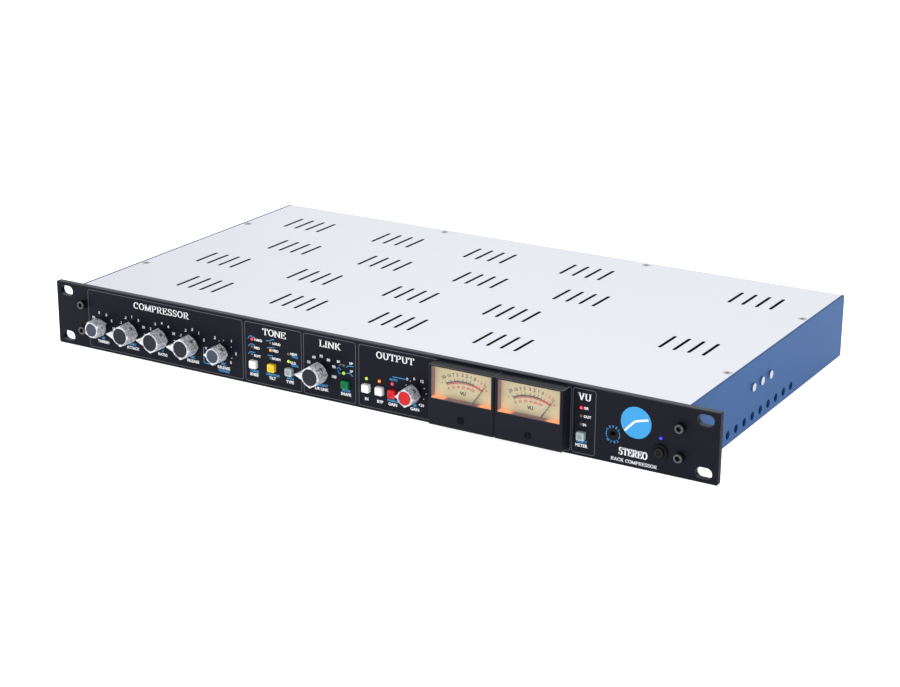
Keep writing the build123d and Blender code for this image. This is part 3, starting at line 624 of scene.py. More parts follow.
def make_knob_body(name, sizes, cap_radius, length, recess, place):
    """The tapering body, its bright rim and the recess for the cap."""
    def outline(height, inset=0.0):
        return knob_outline(sizes, inset + KNOB_TAPER * height)

    mouth = circle_like(cap_radius + CAP_GAP)
    rings = [
        (circle_like(KNOB_BORE_R), 0.0, 0.0), (outline(0.0, KNOB_EDGE), 0.0, 0.0),
        (outline(KNOB_EDGE), KNOB_EDGE, 0.1), (outline(length * 0.33), length * 0.33, 0.0),
        (outline(length * 0.66), length * 0.66, 0.0), (outline(length - RIM_START), length - RIM_START, 0.25),
        (outline(length, 0.05), length - RIM_DROP, 0.9), (outline(length, RIM_WIDTH), length, 1.0),
        (circle_like(cap_radius + RIM_WIDTH), length, 1.0), (mouth, length - RIM_DROP, 0.8),
        (mouth, recess - CAP_SEAT, 0.0),
    ]
    bm = bmesh.new()
    add_rings(bm, rings, place)
    finish_piece(bm, "knob_body_" + name, name + "_control", MATERIALS["knob"], ["knob_" + name])


def make_knob_disc(name, cap_kind, radius, seat, front, place):
    """The cap, with a soft edge and a faint dish."""
    profile = [(radius, seat), (radius, front - 0.25), (radius - 0.06, front - 0.08),
               (radius - 0.25, front, 0.5), (radius * 0.6, front - 0.10), (0.02, front - 0.16)]
    bm = bmesh.new()
    lathe(bm, profile, place, 64)
    finish_piece(bm, "knob_disc_" + name, name + "_control", MATERIALS[cap_kind],
                 ["knob_cap_" + name])


def make_set_screw(name, reach, place):
    """The grub screw in the side of a knob, with its hexagon socket."""
    aim = Matrix.Rotation(-radians(SET_SCREW_ANGLE), 4, "Z") @ Matrix.Rotation(-pi / 2, 4, "X")
    top = reach - 0.05
    outer = circle(SET_SCREW_R, SET_SCREW_POINTS)
    rings = [(outer, top - 0.8, 0.0), (outer, top - 0.08, 0.4), (circle(1.0, SET_SCREW_POINTS), top, 1.0),
             (circle(0.62, SET_SCREW_POINTS), top, 0.4)]
    for corner, depth in ((0.6, 0.06), (0.55, 0.6)):
        socket = hexagon(2 * corner * cos(pi / 6), SET_SCREW_POINTS, pi / 6)
        rings.append((socket, top - depth, 0.0))
    bm = bmesh.new()
    add_rings(bm, rings, place @ aim)
    finish_piece(bm, "knob_grub_screw_" + name, name + "_control", MATERIALS["deep_black"])


def circle_like(radius):
    """A circle with as many points as a knob's outline, in the same order."""
    return [(-radius * sin(2 * pi * i / KNOB_POINTS), radius * cos(2 * pi * i / KNOB_POINTS))
            for i in range(KNOB_POINTS)]


def make_knobs():
    """All knobs, and steel on their shafts."""
    for name, (cap_kind, pointer) in KNOB_KINDS.items():
        make_knob(name, cap_kind, pointer)
        dress("shaft_" + name, "steel")


# ---- push buttons

KEY_COLOURS = {
    "knee": "white", "tilt": "yellow", "type": "grey", "shape": "green",
    "in": "white", "bypass": "white", "auto_gain": "red", "meter": "grey",
}
KEY_SHOULDER = 0.9
KEY_LEAN = 0.8
KEY_STEM_L = 7.0
KEY_STEM_INSET = 1.6
KEY_GAP = 0.02
KEY_CORNER = 0.8
KEY_STEPS = 5


def make_key(name, colour):
    """A moulded square key with rounded shoulders and a faintly dished top."""
    low, high = node_box("button_" + name)
    x, z = middle(low, high)
    size, length = high.x - low.x, high.y - low.y
    rings = []
    for height, inset, wear_and_painted_light in ((0.0, KEY_STEM_INSET, 0.0), (KEY_STEM_L, KEY_STEM_INSET, 0.0),
                                (KEY_STEM_L, KEY_GAP, 0.0), (length - KEY_SHOULDER, KEY_GAP, 0.1)):
        side = size - 2 * inset
        rings.append((rounded_rect(side, side, min(KEY_CORNER, side / 4)), height, wear_and_painted_light))
    for i in range(1, KEY_STEPS + 1):
        turn = pi / 2 * i / KEY_STEPS
        side = size - 2 * (KEY_GAP + KEY_SHOULDER * (1 - cos(turn)) * KEY_LEAN)
        height = length - KEY_SHOULDER * (1 - sin(turn))
        rings.append((rounded_rect(side, side, KEY_CORNER), height, 0.2 + 0.8 * sin(turn)))
    face = size - 2 * (KEY_GAP + KEY_SHOULDER * KEY_LEAN)
    rings.append((rounded_rect(face * 0.8, face * 0.8, 0.7), length - 0.05, 0.3))
    rings.append((rounded_rect(face * 0.4, face * 0.4, 0.4), length - 0.12, 0.0))
    bm = bmesh.new()
    add_rings(bm, rings, facing(x, high.y, z))
    finish_piece(bm, "key_" + name, name + "_key", MATERIALS[colour],
                 ["button_" + name], 50)


def make_keys():
    """The eight square keys."""
    for name, colour in KEY_COLOURS.items():
        make_key(name, colour)


def make_power_switch():
    """The dished round key with its softened edge."""
    low, high = node_box("power_button")
    x, z = middle(low, high)
    radius, length = (high.x - low.x) / 2, high.y - low.y
    profile = [(radius - 0.1, 0.0), (radius, 0.2), (radius, length - 0.5),
               (radius - 0.15, length - 0.15, 0.5), (radius - 0.5, length, 1.0),
               (radius * 0.6, length - 0.15, 0.1), (0.02, length - 0.3)]
    bm = bmesh.new()
    lathe(bm, profile, facing(x, high.y, z), 64)
    finish_piece(bm, "power_key_cap", "power_key", MATERIALS["black"], ["power_button"])


# ---- indicator lamps

# State: colour, strength and colour of the lit core.
LAMP_STATES = {
    "red_lit": ((225, 12, 44), 1.6, (255, 120, 150)),
    "green_off": ((78, 82, 40), 0.0, (0, 0, 0)),
    "grey_off": ((60, 70, 74), 0.0, (0, 0, 0)),
    "amber_off": ((96, 66, 30), 0.0, (0, 0, 0)),
    "amber_lit": ((214, 104, 10), 1.5, (255, 206, 130)),
    "green_lit": ((128, 172, 12), 1.5, (232, 246, 120)),
    "blue_lit": ((28, 30, 190), 1.3, (84, 80, 250)),
}
# The state of each lamp, column by column from the left.
LAMP_ORDER = ("red_lit", "green_off", "grey_off", "amber_off", "amber_lit", "grey_off", "amber_off",
              "green_lit", "green_off", "green_lit", "green_lit", "amber_lit", "red_lit", "red_lit",
              "amber_off", "grey_off", "blue_lit")
SPACER_R = 1.4
SPACER_L = 14.0
DOME = 0.6
DOME_STEPS = 6
CORE_SHARPNESS = 12


def lamp_columns():
    """Lamp axes in columns from left to right, each from the top down."""
    axes = [(*middle(low, high), low.y, high.y) for low, high in solid_boxes("leds")]
    columns = []
    for lamp in sorted(axes):
        if columns and lamp[0] - columns[-1][-1][0] < 1.0:
            columns[-1].append(lamp)
        else:
            columns.append([lamp])
    return [lamp for column in columns for lamp in sorted(column, key=lambda a: -a[1])]


def add_lamp(bm, x, z, front, back):
    """A spacer and the domed lens before it."""
    profile = [(SPACER_R, 0.0), (SPACER_R, SPACER_L), (1.0, SPACER_L + DOME)]
    for i in range(DOME_STEPS + 1):
        turn = pi / 2 * i / DOME_STEPS
        height = back - front - DOME + DOME * sin(turn)
        profile.append((max(0.02, cos(turn)), height, sin(turn) ** CORE_SHARPNESS))
    lathe(bm, profile, facing(x, back, z), 32)


def make_lamps():
    """All lamps, one piece for each state."""
    lamps = list(zip(lamp_columns(), LAMP_ORDER))
    for state, (color, strength, core) in LAMP_STATES.items():
        bm = bmesh.new()
        for lamp, lamp_state in lamps:
            if lamp_state == state:
                add_lamp(bm, *lamp)
        material = lamp_resin("lamp_" + state, linear(*color), strength, linear(*core))
        finish_piece(bm, "lamps_" + state, "chassis", material, ["leds"])


# ---- meters

METERS = ("left", "right")
METER_LIP = 2.0
METER_WALL = 1.2
WINDOW_CORNER = 0.35
LINER_SETBACK = 0.5
LINER_LEDGE = 0.6
LINER_WALL = 0.3
PANE_GAP = 0.4
PANE_FRONT = 0.6
PANE_T = 0.8
ZERO_GROOVE = 0.7
ZERO_POINTS = 16
# Half width, bottom, top and corner radius of the barrel behind the bezel.
BARREL = (20.6, -16.6, 18.1, 1.0)


def shrink(outline, amount):
    """Moves each point of an outline towards its centre by amount along both axes."""
    cx = (max(p[0] for p in outline) + min(p[0] for p in outline)) / 2
    cy = (max(p[1] for p in outline) + min(p[1] for p in outline)) / 2
    half_w = max(p[0] for p in outline) - cx
    half_h = max(p[1] for p in outline) - cy
    return [(cx + (x - cx) * (half_w - amount) / half_w, cy + (y - cy) * (half_h - amount) / half_h)
            for x, y in outline]


def moved(outline, dx, dy):
    """An outline shifted in its own plane."""
    return [(x + dx, y + dy) for x, y in outline]


def upright_outline(half_w, low_z, high_z, radius):
    """A rounded rectangle about a meter's middle, between two heights."""
    return moved(rounded_rect(2 * half_w, high_z - low_z, radius, 4), 0.0, (low_z + high_z) / 2)


def window_outline():
    """The edge of a meter's window."""
    return upright_outline(WINDOW_HALF_W, WINDOW_BOTTOM, WINDOW_TOP, WINDOW_CORNER)


def make_meter(side):
    """Housing, liner, window, dial, needle and zero adjuster of one meter."""
    low, high = node_box("meter_case_" + side)
    x, _ = middle(low, high)
    dial = [box for box in solid_boxes("meter_dials") if abs(middle(*box)[0] - x) < 1][0]
    make_housing(side, x, low, high)
    make_liner(side, x, low.y + LINER_SETBACK, dial[0].y)
    make_window(side, x, low.y)
    make_dial(side, x, dial)
    make_needle(side)
    make_zero_screw(side)


def make_housing(side, x, low, high):
    """The moulded case: a bezel with a softened front edge and a barrel through the panel."""
    place = facing(x, PANEL_Y, 0)
    depth = PANEL_Y - low.y
    half_w = (high.x - low.x) / 2
    outer = upright_outline(half_w, low.z, high.z, 0.6)
    window = window_outline()
    cavity = upright_outline(half_w - METER_WALL, low.z + METER_WALL, WINDOW_TOP, WINDOW_CORNER)
    # The 0.2 weights on the bevels bring in the meter's paler second colour, a painted highlight.
    rings = [
        (outer, 0.0, 0.0), (outer, depth - 0.7, 0.0), (shrink(outer, 0.12), depth - 0.3, 0.2),
        (shrink(outer, 0.6), depth, 0.2), (shrink(outer, 0.9), depth, 0.0),
        (shrink(window, -0.2), depth, 0.0), (window, depth - 0.2, 0.2), (window, depth - METER_LIP, 0.0),
        (cavity, depth - METER_LIP, 0.0), (cavity, METER_WALL, 0.0),
    ]
    bm = bmesh.new()
    add_rings(bm, rings, place)
    back = high.y - PANEL_Y
    barrel = upright_outline(*BARREL)
    add_rings(bm, [(shrink(barrel, 0.6), -back, 0.3), (barrel, 0.6 - back, 0.2), (barrel, -0.02, 0.0)], place)
    finish_piece(bm, "meter_housing_" + side, "chassis", MATERIALS["meter"],
                 ["meter_case_" + side])


def make_liner(side, x, front, back):
    """The frosted sleeve between the window's edge and the dial, with a painted lamp glow on its ledge and
    painted shade where it meets the dial.
    """
    outer = shrink(window_outline(), 0.02)
    inner = shrink(window_outline(), LINER_WALL)
    depth = back - front
    # Weight 1 on the back rings marks the painted shade where the sleeve meets the dial.
    rings = [(outer, 0.02, 0.0), (outer, depth, 0.0), (inner, depth, 0.0), (inner, LINER_LEDGE, 0.0),
             (inner, 0.02, 1.0), (outer, 0.02, 1.0)]
    bm = bmesh.new()
    add_rings(bm, rings, facing(x, back, 0), closed=False)
    bmesh.ops.remove_doubles(bm, verts=bm.verts, dist=0.001 * MM)
    finish_piece(bm, "meter_liner_" + side, "chassis", lamp_wall("liner_" + side, x))


def make_window(side, x, front):
    """The clear front of the meter."""
    half, front = WINDOW_HALF_W - PANE_GAP, front + PANE_FRONT
    low = Vector((x - half, front, WINDOW_BOTTOM + PANE_GAP))
    high = Vector((x + half, front + PANE_T, WINDOW_TOP - PANE_GAP))
    bm = bmesh.new()
    slab(bm, low, high)
    piece = finish_piece(bm, "meter_pane_" + side, "chassis", MATERIALS["window"],
                         ["meter_windows"])
    piece.visible_shadow = False


SCALE_RADIUS = 27.5
SCALE_CENTRE_Z = -16.6
SCALE_HALF_ANGLE = 26.5
# Level marks: angle from upright, label.
LEVEL_MARKS = ((-26.5, "20"), (-19.5, "10"), (-13.5, "7"), (-8.5, "5"), (-2.0, "3"), (3.3, "2"), (8.3, "1"),
               (13.3, "0"), (17.6, "1"), (21.7, "2"), (25.8, "3"))
PERCENT_MARKS = ((-26.0, "0"), (-18.0, "20"), (-9.5, "40"), (-1.0, "60"), (6.5, "80"), (13.3, "100"))
RED_FROM = 13.3
FINE_MARKS = 24
FINE_MARK_STEP = 1.7
SIGN_ANGLE = 31.5
SIGN_RADIUS = SCALE_RADIUS + 1.6
VU_PLACE = (-0.8, 20.1)


def dial_point(radius, angle):
    """A point at an angle from upright, positive to the right."""
    return radius * sin(radians(angle)), radius * cos(radians(angle))


# Share of a font's size that its capitals stand, and the thickness of a printed letter.
CAP_HEIGHT = 0.72
LETTER_T = 0.04


def ribbon(bm, points, width, place, thickness=0.05, closed=False, weight=None):
    """A flat printed line through points in the local XY plane, as a thin closed strip."""
    count = len(points)
    rows = []
    for i, (x, y) in enumerate(points):
        before = points[i - 1] if i > 0 or closed else points[i]
        after = points[(i + 1) % count] if i < count - 1 or closed else points[i]
        dx, dy = after[0] - before[0], after[1] - before[1]
        length = hypot(dx, dy) or 1.0
        half = width / 2 * (weight(dx, dy) if weight else 1.0)
        nx, ny = -dy / length * half, dx / length * half
        row = []
        for sx, height in ((-1, 0.0), (1, 0.0), (1, thickness), (-1, thickness)):
            row.append(bm.verts.new((place @ Vector((x + sx * nx, y + sx * ny, height))) * MM))
        rows.append(row)
    pairs = list(zip(rows, rows[1:])) + ([(rows[-1], rows[0])] if closed else [])
    for first, second in pairs:
        for i in range(4):
            j = (i + 1) % 4
            bm.faces.new((first[i], second[i], second[j], first[j]))
    if not closed:
        bm.faces.new(rows[0])
        bm.faces.new(list(reversed(rows[-1])))


def add_text(bm, text, x, y, size, place, bold=0.0, align="CENTER", turn=0.0):
    """Letters of a cap height of about size, as thin raised print, centred on a local point."""
    curve = bpy.data.curves.new("lettering", "FONT")
    curve.body = text
    curve.align_x = align
    curve.align_y = "CENTER"
    curve.size = size / CAP_HEIGHT
    curve.offset = bold
    curve.extrude = LETTER_T / 2
    curve.resolution_u = 3
    holder = bpy.data.objects.new("lettering", curve)
    bpy.context.scene.collection.objects.link(holder)
    mesh = bpy.data.meshes.new_from_object(holder)
    shape = Matrix.Translation((x, y, LETTER_T / 2)) @ Matrix.Rotation(-radians(turn), 4, "Z")
    mesh.transform(place @ shape)
    mesh.transform(Matrix.Scale(MM, 4))
    bm.from_mesh(mesh)
    bpy.data.objects.remove(holder)
    bpy.data.curves.remove(curve)
    bpy.data.meshes.remove(mesh)


def add_mark(bm, start, end, angle, width, place):
    """A printed line along a ray of the scale."""
    ribbon(bm, [dial_point(start, angle), dial_point(end, angle)], width, place)


def add_figure(bm, label, radius, angle, size, place, bold, turned=True):
    """A figure on a ray of the scale, leaning with it unless turned is off."""
    add_text(bm, label, *dial_point(radius, angle), size, place, bold, turn=angle if turned else 0.0)


def add_arc(bm, radius, start, end, width, place):
    """A printed arc between two angles from upright."""
    steps = max(2, int((end - start) / 1.5))
    points = [dial_point(radius, start + (end - start) * i / steps) for i in range(steps + 1)]
    ribbon(bm, points, width, place)


def make_dial(side, x, dial):
    """The card with its painted lamp glow and the scale printed on it in black and red."""
    bm = bmesh.new()
    slab(bm, *dial)
    card = dial_card("dial_card_" + side, x)
    finish_piece(bm, "dial_card_" + side, "chassis", card, ["meter_dials"])
    place = facing(x, dial[0].y - 0.01, SCALE_CENTRE_Z)
    black, red = bmesh.new(), bmesh.new()
    add_arc(black, SCALE_RADIUS, -SCALE_HALF_ANGLE, RED_FROM, 0.8, place)
    add_arc(red, SCALE_RADIUS - 0.25, RED_FROM, SCALE_HALF_ANGLE, 1.3, place)
    add_arc(red, SCALE_RADIUS - 0.9, -SCALE_HALF_ANGLE, RED_FROM, 0.6, place)
    add_scale(black, red, place)
    finish_piece(black, "dial_print_black_" + side, "chassis", MATERIALS["scale_black"])
    finish_piece(red, "dial_print_red_" + side, "chassis", MATERIALS["scale_red"])


def add_scale(black, red, place):
    """Level marks above the arc, fine marks on it, percent marks below it, and the unit."""
    for angle, label in LEVEL_MARKS:
        ink = red if angle > RED_FROM else black
        add_mark(ink, SCALE_RADIUS, SCALE_RADIUS + 2.1, angle, 0.32, place)
        add_figure(ink, label, SCALE_RADIUS + 4.1, angle, 2.1, place, 0.06)
    for i in range(FINE_MARKS):
        angle = -SCALE_HALF_ANGLE + FINE_MARK_STEP * i
        add_mark(black, SCALE_RADIUS, SCALE_RADIUS + 1.1, angle, 0.14, place)
    for angle, label in PERCENT_MARKS:
        ink = black if label == "0" else red
        add_mark(ink, SCALE_RADIUS - 1.2, SCALE_RADIUS - 2.0, angle, 0.2, place)
        add_figure(ink, label, SCALE_RADIUS - 3.4, angle, 1.6, place, 0.04)
    add_figure(black, "-", SIGN_RADIUS, -SIGN_ANGLE, 2.6, place, 0.05, turned=False)
    add_figure(red, "+", SIGN_RADIUS, SIGN_ANGLE, 2.6, place, 0.05, turned=False)
    add_text(black, "VU", *VU_PLACE, 2.1, place, 0.16)


NEEDLE_REST = 35.5
NEEDLE_REACH = 26.8
NEEDLE_TAIL = -4.4
NEEDLE_HALF_W = 0.42
NEEDLE_TIP_HALF_W = 0.15


def make_needle(side):
    """A thin blade that narrows to its tip, with its hub and balance tail."""
    place = facing(*joint_place("needle_" + side + "_swing"), NEEDLE_REST)
    right = [(NEEDLE_HALF_W, NEEDLE_TAIL), (NEEDLE_HALF_W, 0.0), (NEEDLE_TIP_HALF_W, NEEDLE_REACH)]
    left = [(-x, y) for x, y in right]
    blade = [left[0]] + right + left[:0:-1]
    bm = bmesh.new()
    add_rings(bm, [(blade, -0.15, 0.0), (blade, 0.12, 0.0), (shrink(blade, 0.05), 0.18, 0.0)], place)
    lathe(bm, [(1.4, -0.75), (1.5, -0.6), (1.5, 0.6), (1.3, 0.74)], place, 32)
    finish_piece(bm, "needle_blade_" + side, "needle_" + side, MATERIALS["needle"],
                 ["meter_needle_" + side])


def make_zero_screw(side):
    """A slotted screw: two half rounds on a disc, with the slot upright between them."""
    low, high = node_box("meter_zero_screw_" + side)
    x, z = middle(low, high)
    radius, depth = (high.x - low.x) / 2, high.y - low.y
    place = facing(x, high.y, z)
    edge = atan2(ZERO_GROOVE / 2, radius)
    bm = bmesh.new()
    lathe(bm, [(radius, 0.0), (radius, depth - 0.8)], place, 32)
    arc = [edge + (pi - 2 * edge) * i / ZERO_POINTS for i in range(ZERO_POINTS + 1)]
    for sign in (-1, 1):
        half = [(sign * radius * sin(a), sign * -radius * cos(a)) for a in arc]
        smaller = [(px * 0.92 + sign * 0.03, py * 0.92) for px, py in half]
        add_rings(bm, [(half, depth - 0.79, 0.0), (half, depth - 0.2, 0.3), (smaller, depth, 1.0)], place)
    finish_piece(bm, "zero_adjuster_" + side, "zero_adjust_" + side, MATERIALS["deep_black"],
                 ["meter_zero_screw_" + side])


# ---- printed legends

PRINT_Y = PANEL_Y - 0.01
LABEL_Z = -15.1
UNIT_Z = -12.5
HEADING_Z = 15.3
RING_Z = -4.3
FRAME_TOP = 19.9
FRAME_BOTTOM = -19.9
FRAMES = ((-214.0, -86.8), (-84.8, -41.3), (-39.5, -0.75), (1.7, 148.4), (149.5, 164.3))
# Heading, left and right end.
HEADINGS = (("COMPRESSOR", -175.3, -129.5), ("TONE", -71.0, -52.8), ("LINK", -27.7, -11.6),
            ("OUTPUT", 14.3, 41.7), ("VU", 153.0, 161.3))


def even_ring(labels, radius=10.9):
    """Seven figures from 9 to 3 o'clock."""
    return [(30 * i - 90, radius, label) for i, label in enumerate(labels)]


# Angle from 12 o'clock, radius and figure of each mark round a knob. No figure means a dot.
RINGS = {
    "attack": even_ring((".03", ".1", ".3", "1", "3", "10", "30")),
    "ratio": even_ring(("1.5", "2", "3", "4", "6", "10", "20")),
    "release": even_ring((".05", ".1", ".2", ".5", "1", "2", "V")),
    "link": even_ring(("0", "50", "60", "70", "80", "90"))[:-1] + [(59, 11.0, "90"), (95, 9.4, "100")],
    "threshold": [(-57, 9.4, "10"), (-16, 9.6, "5"), (22, 9.2, "0"), (56, 9.3, "5"), (90, 9.3, "10"),
                  (-90, 9.3, "15")],
    "release_variable": [(-38, 10.9, ".2"), (-25, 7.7, ""), (3, 8.0, ""), (38, 10.8, "1"), (55, 7.9, ""),
                         (87, 10.0, "2"), (114, 7.2, ""), (137, 8.4, "3")],
    "gain": [(-58, 7.3, ""), (-35, 9.4, "0"), (-25, 7.6, ""), (-3, 8.9, "6"), (31, 9.6, "12"), (59, 7.8, ""),
             (84, 8.1, ""), (115, 7.0, ""), (148, 8.6, "+24")],
}
# Control, name under it, blue word between the two.
KNOB_LABELS = (("threshold", "THRESH", "dB"), ("attack", "ATTACK", "mSEC"), ("ratio", "RATIO", ":1"),
               ("release", "RELEASE", "SEC"), ("release_variable", "RELEASE", "SEC"),
               ("link", "L/R LINK", "PERCENT"), ("gain", "GAIN", "dB"))
KEY_LABELS = (("knee", "KNEE", "CURVE"), ("tilt", "TILT", "CONTOUR"), ("type", "TYPE", "PATH"),
              ("shape", "SHAPE", "FILTER"), ("in", "IN", ""), ("bypass", "BYP", ""),
              ("auto_gain", "GAIN", "MAKE-UP"), ("meter", "METER", "SELECT"))
LAMP_LABELS = ((-77.4, 8.6, "HARD"), (-77.9, 3.2, "MED"), (-78.0, -2.2, "SOFT"), (-63.4, 8.5, "LOUD"),
               (-63.4, 3.7, "MED"), (-64.0, -1.6, "NORM"), (-49.8, 4.0, "NEW"), (-50.1, -1.8, "OLD"),
               (156.7, 8.4, "GR"), (156.7, 3.2, "OUT"), (156.2, -2.0, "IN"))
FILTER_LABELS = ((-13.4, 5.4, "BP"), (-4.0, 5.9, "HP"), (-3.8, 0.8, "LP"))
BLUE_LABELS = ((-46.2, 2.2, "FWD"), (-46.3, -3.5, "BACK"), (26.9, 1.1, "AUTO"), (-102.3, -17.3, "VARIABLE"))
BLUE_LINES = (
    [(-82.4, 8.6), (-81.2, 10.3), (-80.0, 10.9), (-76.9, 9.8)],
    [(-82.2, 3.5), (-81.0, 5.0), (-79.8, 5.5), (-77.0, 4.7)],
    [(-82.4, -1.7), (-81.2, -0.3), (-80.0, 0.1), (-77.2, -0.3)],
    [(-68.3, 9.3), (-62.1, 11.4)],
    [(-67.7, 5.0), (-61.9, 6.0)],
    [(-67.3, 0.1), (-63.1, 0.2)],
    [(-13.0, 3.1), (-11.6, 4.1), (-10.9, 4.2)],
    [(-14.4, 0.5), (-13.6, 1.7), (-12.8, 1.7), (-11.7, 0.3)],
    [(-13.9, -0.4), (-12.8, -2.1), (-11.2, -1.9)],
    [(-7.5, 2.9), (-6.6, 3.9), (-2.4, 4.3)],
    [(-7.5, -1.1), (-5.4, -0.6), (-2.5, -2.2)],
    [(26.4, 3.1), (37.2, 3.1)],
    [(-118.3, -3.5), (-118.3, -14.3), (-118.1, -14.5), (-109.1, -14.5)],
)


STEM = 0.20
HAIR = 0.085
SERIF_REACH = 0.17


def bend(cx, cy, rx, ry, start, end, steps=14):
    """Points along an ellipse, angles in degrees from the right."""
    angles = [radians(start + (end - start) * i / steps) for i in range(steps + 1)]
    return [(cx + rx * cos(a), cy + ry * sin(a)) for a in angles]


def foot(x):
    """A serif on the base line."""
    return [(x - SERIF_REACH, HAIR / 2), (x + SERIF_REACH, HAIR / 2)]


def head(x):
    """A serif at cap height."""
    return [(x - SERIF_REACH, 1 - HAIR / 2), (x + SERIF_REACH, 1 - HAIR / 2)]


def stem(x, low=0.0, high=1.0):
    """An upright with a serif where it reaches the base line or cap height."""
    strokes = [[(x, low), (x, high)]]
    return strokes + ([foot(x)] if low == 0.0 else []) + ([head(x)] if high == 1.0 else [])


def slab_letters():
    """Slab-serif capitals of unit height: width, then strokes that are thick upright and thin across."""
    bowl = [(0.2, 0.96), (0.45, 0.96)] + bend(0.45, 0.715, 0.27, 0.245, 90, -90) + [(0.2, 0.47)]
    s_curve = bend(0.37, 0.735, 0.24, 0.225, 15, 250) + bend(0.36, 0.27, 0.26, 0.23, 75, -165)
    arms = [[(0.2, 0.96), (0.72, 0.96)], [(0.72, 1.0), (0.72, 0.74)], [(0.2, 0.04), (0.76, 0.04)],
            [(0.76, 0.0), (0.76, 0.28)]]
    return {
        " ": (0.45, []),
        "A": (0.92, [[(0.12, 0.0), (0.44, 1.0)], [(0.44, 1.0), (0.8, 0.0)], [(0.22, 0.34), (0.66, 0.34)],
                     foot(0.12), foot(0.8)]),
        "C": (0.88, [bend(0.46, 0.5, 0.34, 0.46, 38, 322), [(0.76, 0.98), (0.76, 0.66)]]),
        "E": (0.86, stem(0.2) + arms + [[(0.2, 0.52), (0.52, 0.52)], [(0.52, 0.4), (0.52, 0.64)]]),
        "I": (0.44, stem(0.22)),
        "K": (0.94, stem(0.2) + [[(0.26, 0.36), (0.74, 0.98)], [(0.42, 0.56), (0.8, 0.0)], foot(0.78),
                                 head(0.74)]),
        "L": (0.80, stem(0.2) + [[(0.2, 0.04), (0.72, 0.04)], [(0.72, 0.0), (0.72, 0.3)]]),
        "M": (1.12, stem(0.16) + stem(0.96) + [[(0.16, 0.98), (0.56, 0.05)], [(0.56, 0.05), (0.96, 0.98)]]),
        "N": (1.0, stem(0.16) + stem(0.84, low=0.02) + [[(0.16, 0.98), (0.84, 0.02)]]),
        "O": (0.94, [bend(0.47, 0.5, 0.36, 0.46, 90, 450, 24)]),
        "P": (0.82, stem(0.2) + [bowl]),
        "R": (0.92, stem(0.2) + [bowl, [(0.46, 0.47), (0.74, 0.02)], foot(0.76)]),
        "S": (0.74, [s_curve, [(0.62, 0.98), (0.62, 0.72)], [(0.1, 0.02), (0.1, 0.28)]]),
        "T": (0.88, stem(0.44, high=0.98) + [[(0.06, 0.96), (0.82, 0.96)], [(0.08, 1.0), (0.08, 0.72)],
                                             [(0.8, 1.0), (0.8, 0.72)]]),
        "U": (0.94, [[(0.2, 1.0), (0.2, 0.36)] + bend(0.48, 0.36, 0.28, 0.32, 180, 360) + [(0.76, 1.0)],
                     head(0.2), head(0.76)]),
        "V": (0.90, [[(0.12, 1.0), (0.45, 0.0)], [(0.45, 0.0), (0.78, 1.0)], head(0.12), head(0.78)]),
    }


LETTERS = slab_letters()
DISC_CENTRE = (190.0, 6.0)
DISC_R = 9.6


def stroke_width(dx, dy):
    """Full width for an upright stroke, hairline for a level one."""
    return HAIR + (STEM - HAIR) * abs(dy) / (hypot(dx, dy) or 1.0)


def add_heading(bm, text, x0, x1, z, height, place):
    """Slab-serif words whose letters are spread evenly between x0 and x1, centred on z."""
    natural = sum(LETTERS[c][0] for c in text) * height
    squeeze = min(1.12, (x1 - x0) / natural)
    gap = ((x1 - x0) - natural * squeeze) / max(1, len(text) - 1)
    x = x0
    for character in text:
        width, strokes = LETTERS[character]
        for stroke in strokes:
            points = [(x + px * height * squeeze, z + (py - 0.5) * height) for px, py in stroke]
            ribbon(bm, points, height, place, weight=stroke_width)
        x += width * height * squeeze + gap


# Size and boldness of each kind of word, then the widths of the printed lines.
NAME_TYPE = (1.9, 0.09)
UNIT_TYPE = (1.7, 0.08)
WORD_TYPE = (1.5, 0.09)
RING_TYPE = (1.8, 0.08)
LAMP_TYPE = (1.6, 0.08)
FILTER_TYPE = (1.5, 0.08)
BLUE_TYPE = (1.5, 0.07)
TRIMMER_TYPE = (1.5, 0.07)
HEADING_HEIGHT = 4.4
FRAME_LINE = 0.32
BLUE_LINE = 0.5
RING_DOT = 0.5


def add_words(bm, text, x, y, kind, place, **more):
    """Words in one of the sizes above."""
    size, bold = kind
    add_text(bm, text, x, y, size, place, bold, **more)


def make_frames(bm, place):
    """Thin grey frames round the groups of controls."""
    for x0, x1 in FRAMES:
        outline = moved(rounded_rect(x1 - x0, FRAME_TOP - FRAME_BOTTOM, 1.6, 5), (x0 + x1) / 2,
                        (FRAME_TOP + FRAME_BOTTOM) / 2)
        ribbon(bm, outline, FRAME_LINE, place, closed=True)


def make_rings(bm, place):
    """Figures and dots round the knobs."""
    for name, marks in RINGS.items():
        middle_x, _ = axis_of("knob_cap_" + name)
        for angle, radius, label in marks:
            dx, dz = dial_point(radius, angle)
            x, z = middle_x + dx, RING_Z + dz
            if label:
                add_words(bm, label, x, z, RING_TYPE, place)
            else:
                ribbon(bm, [(x - RING_DOT / 2, z), (x + RING_DOT / 2, z)], RING_DOT, place)


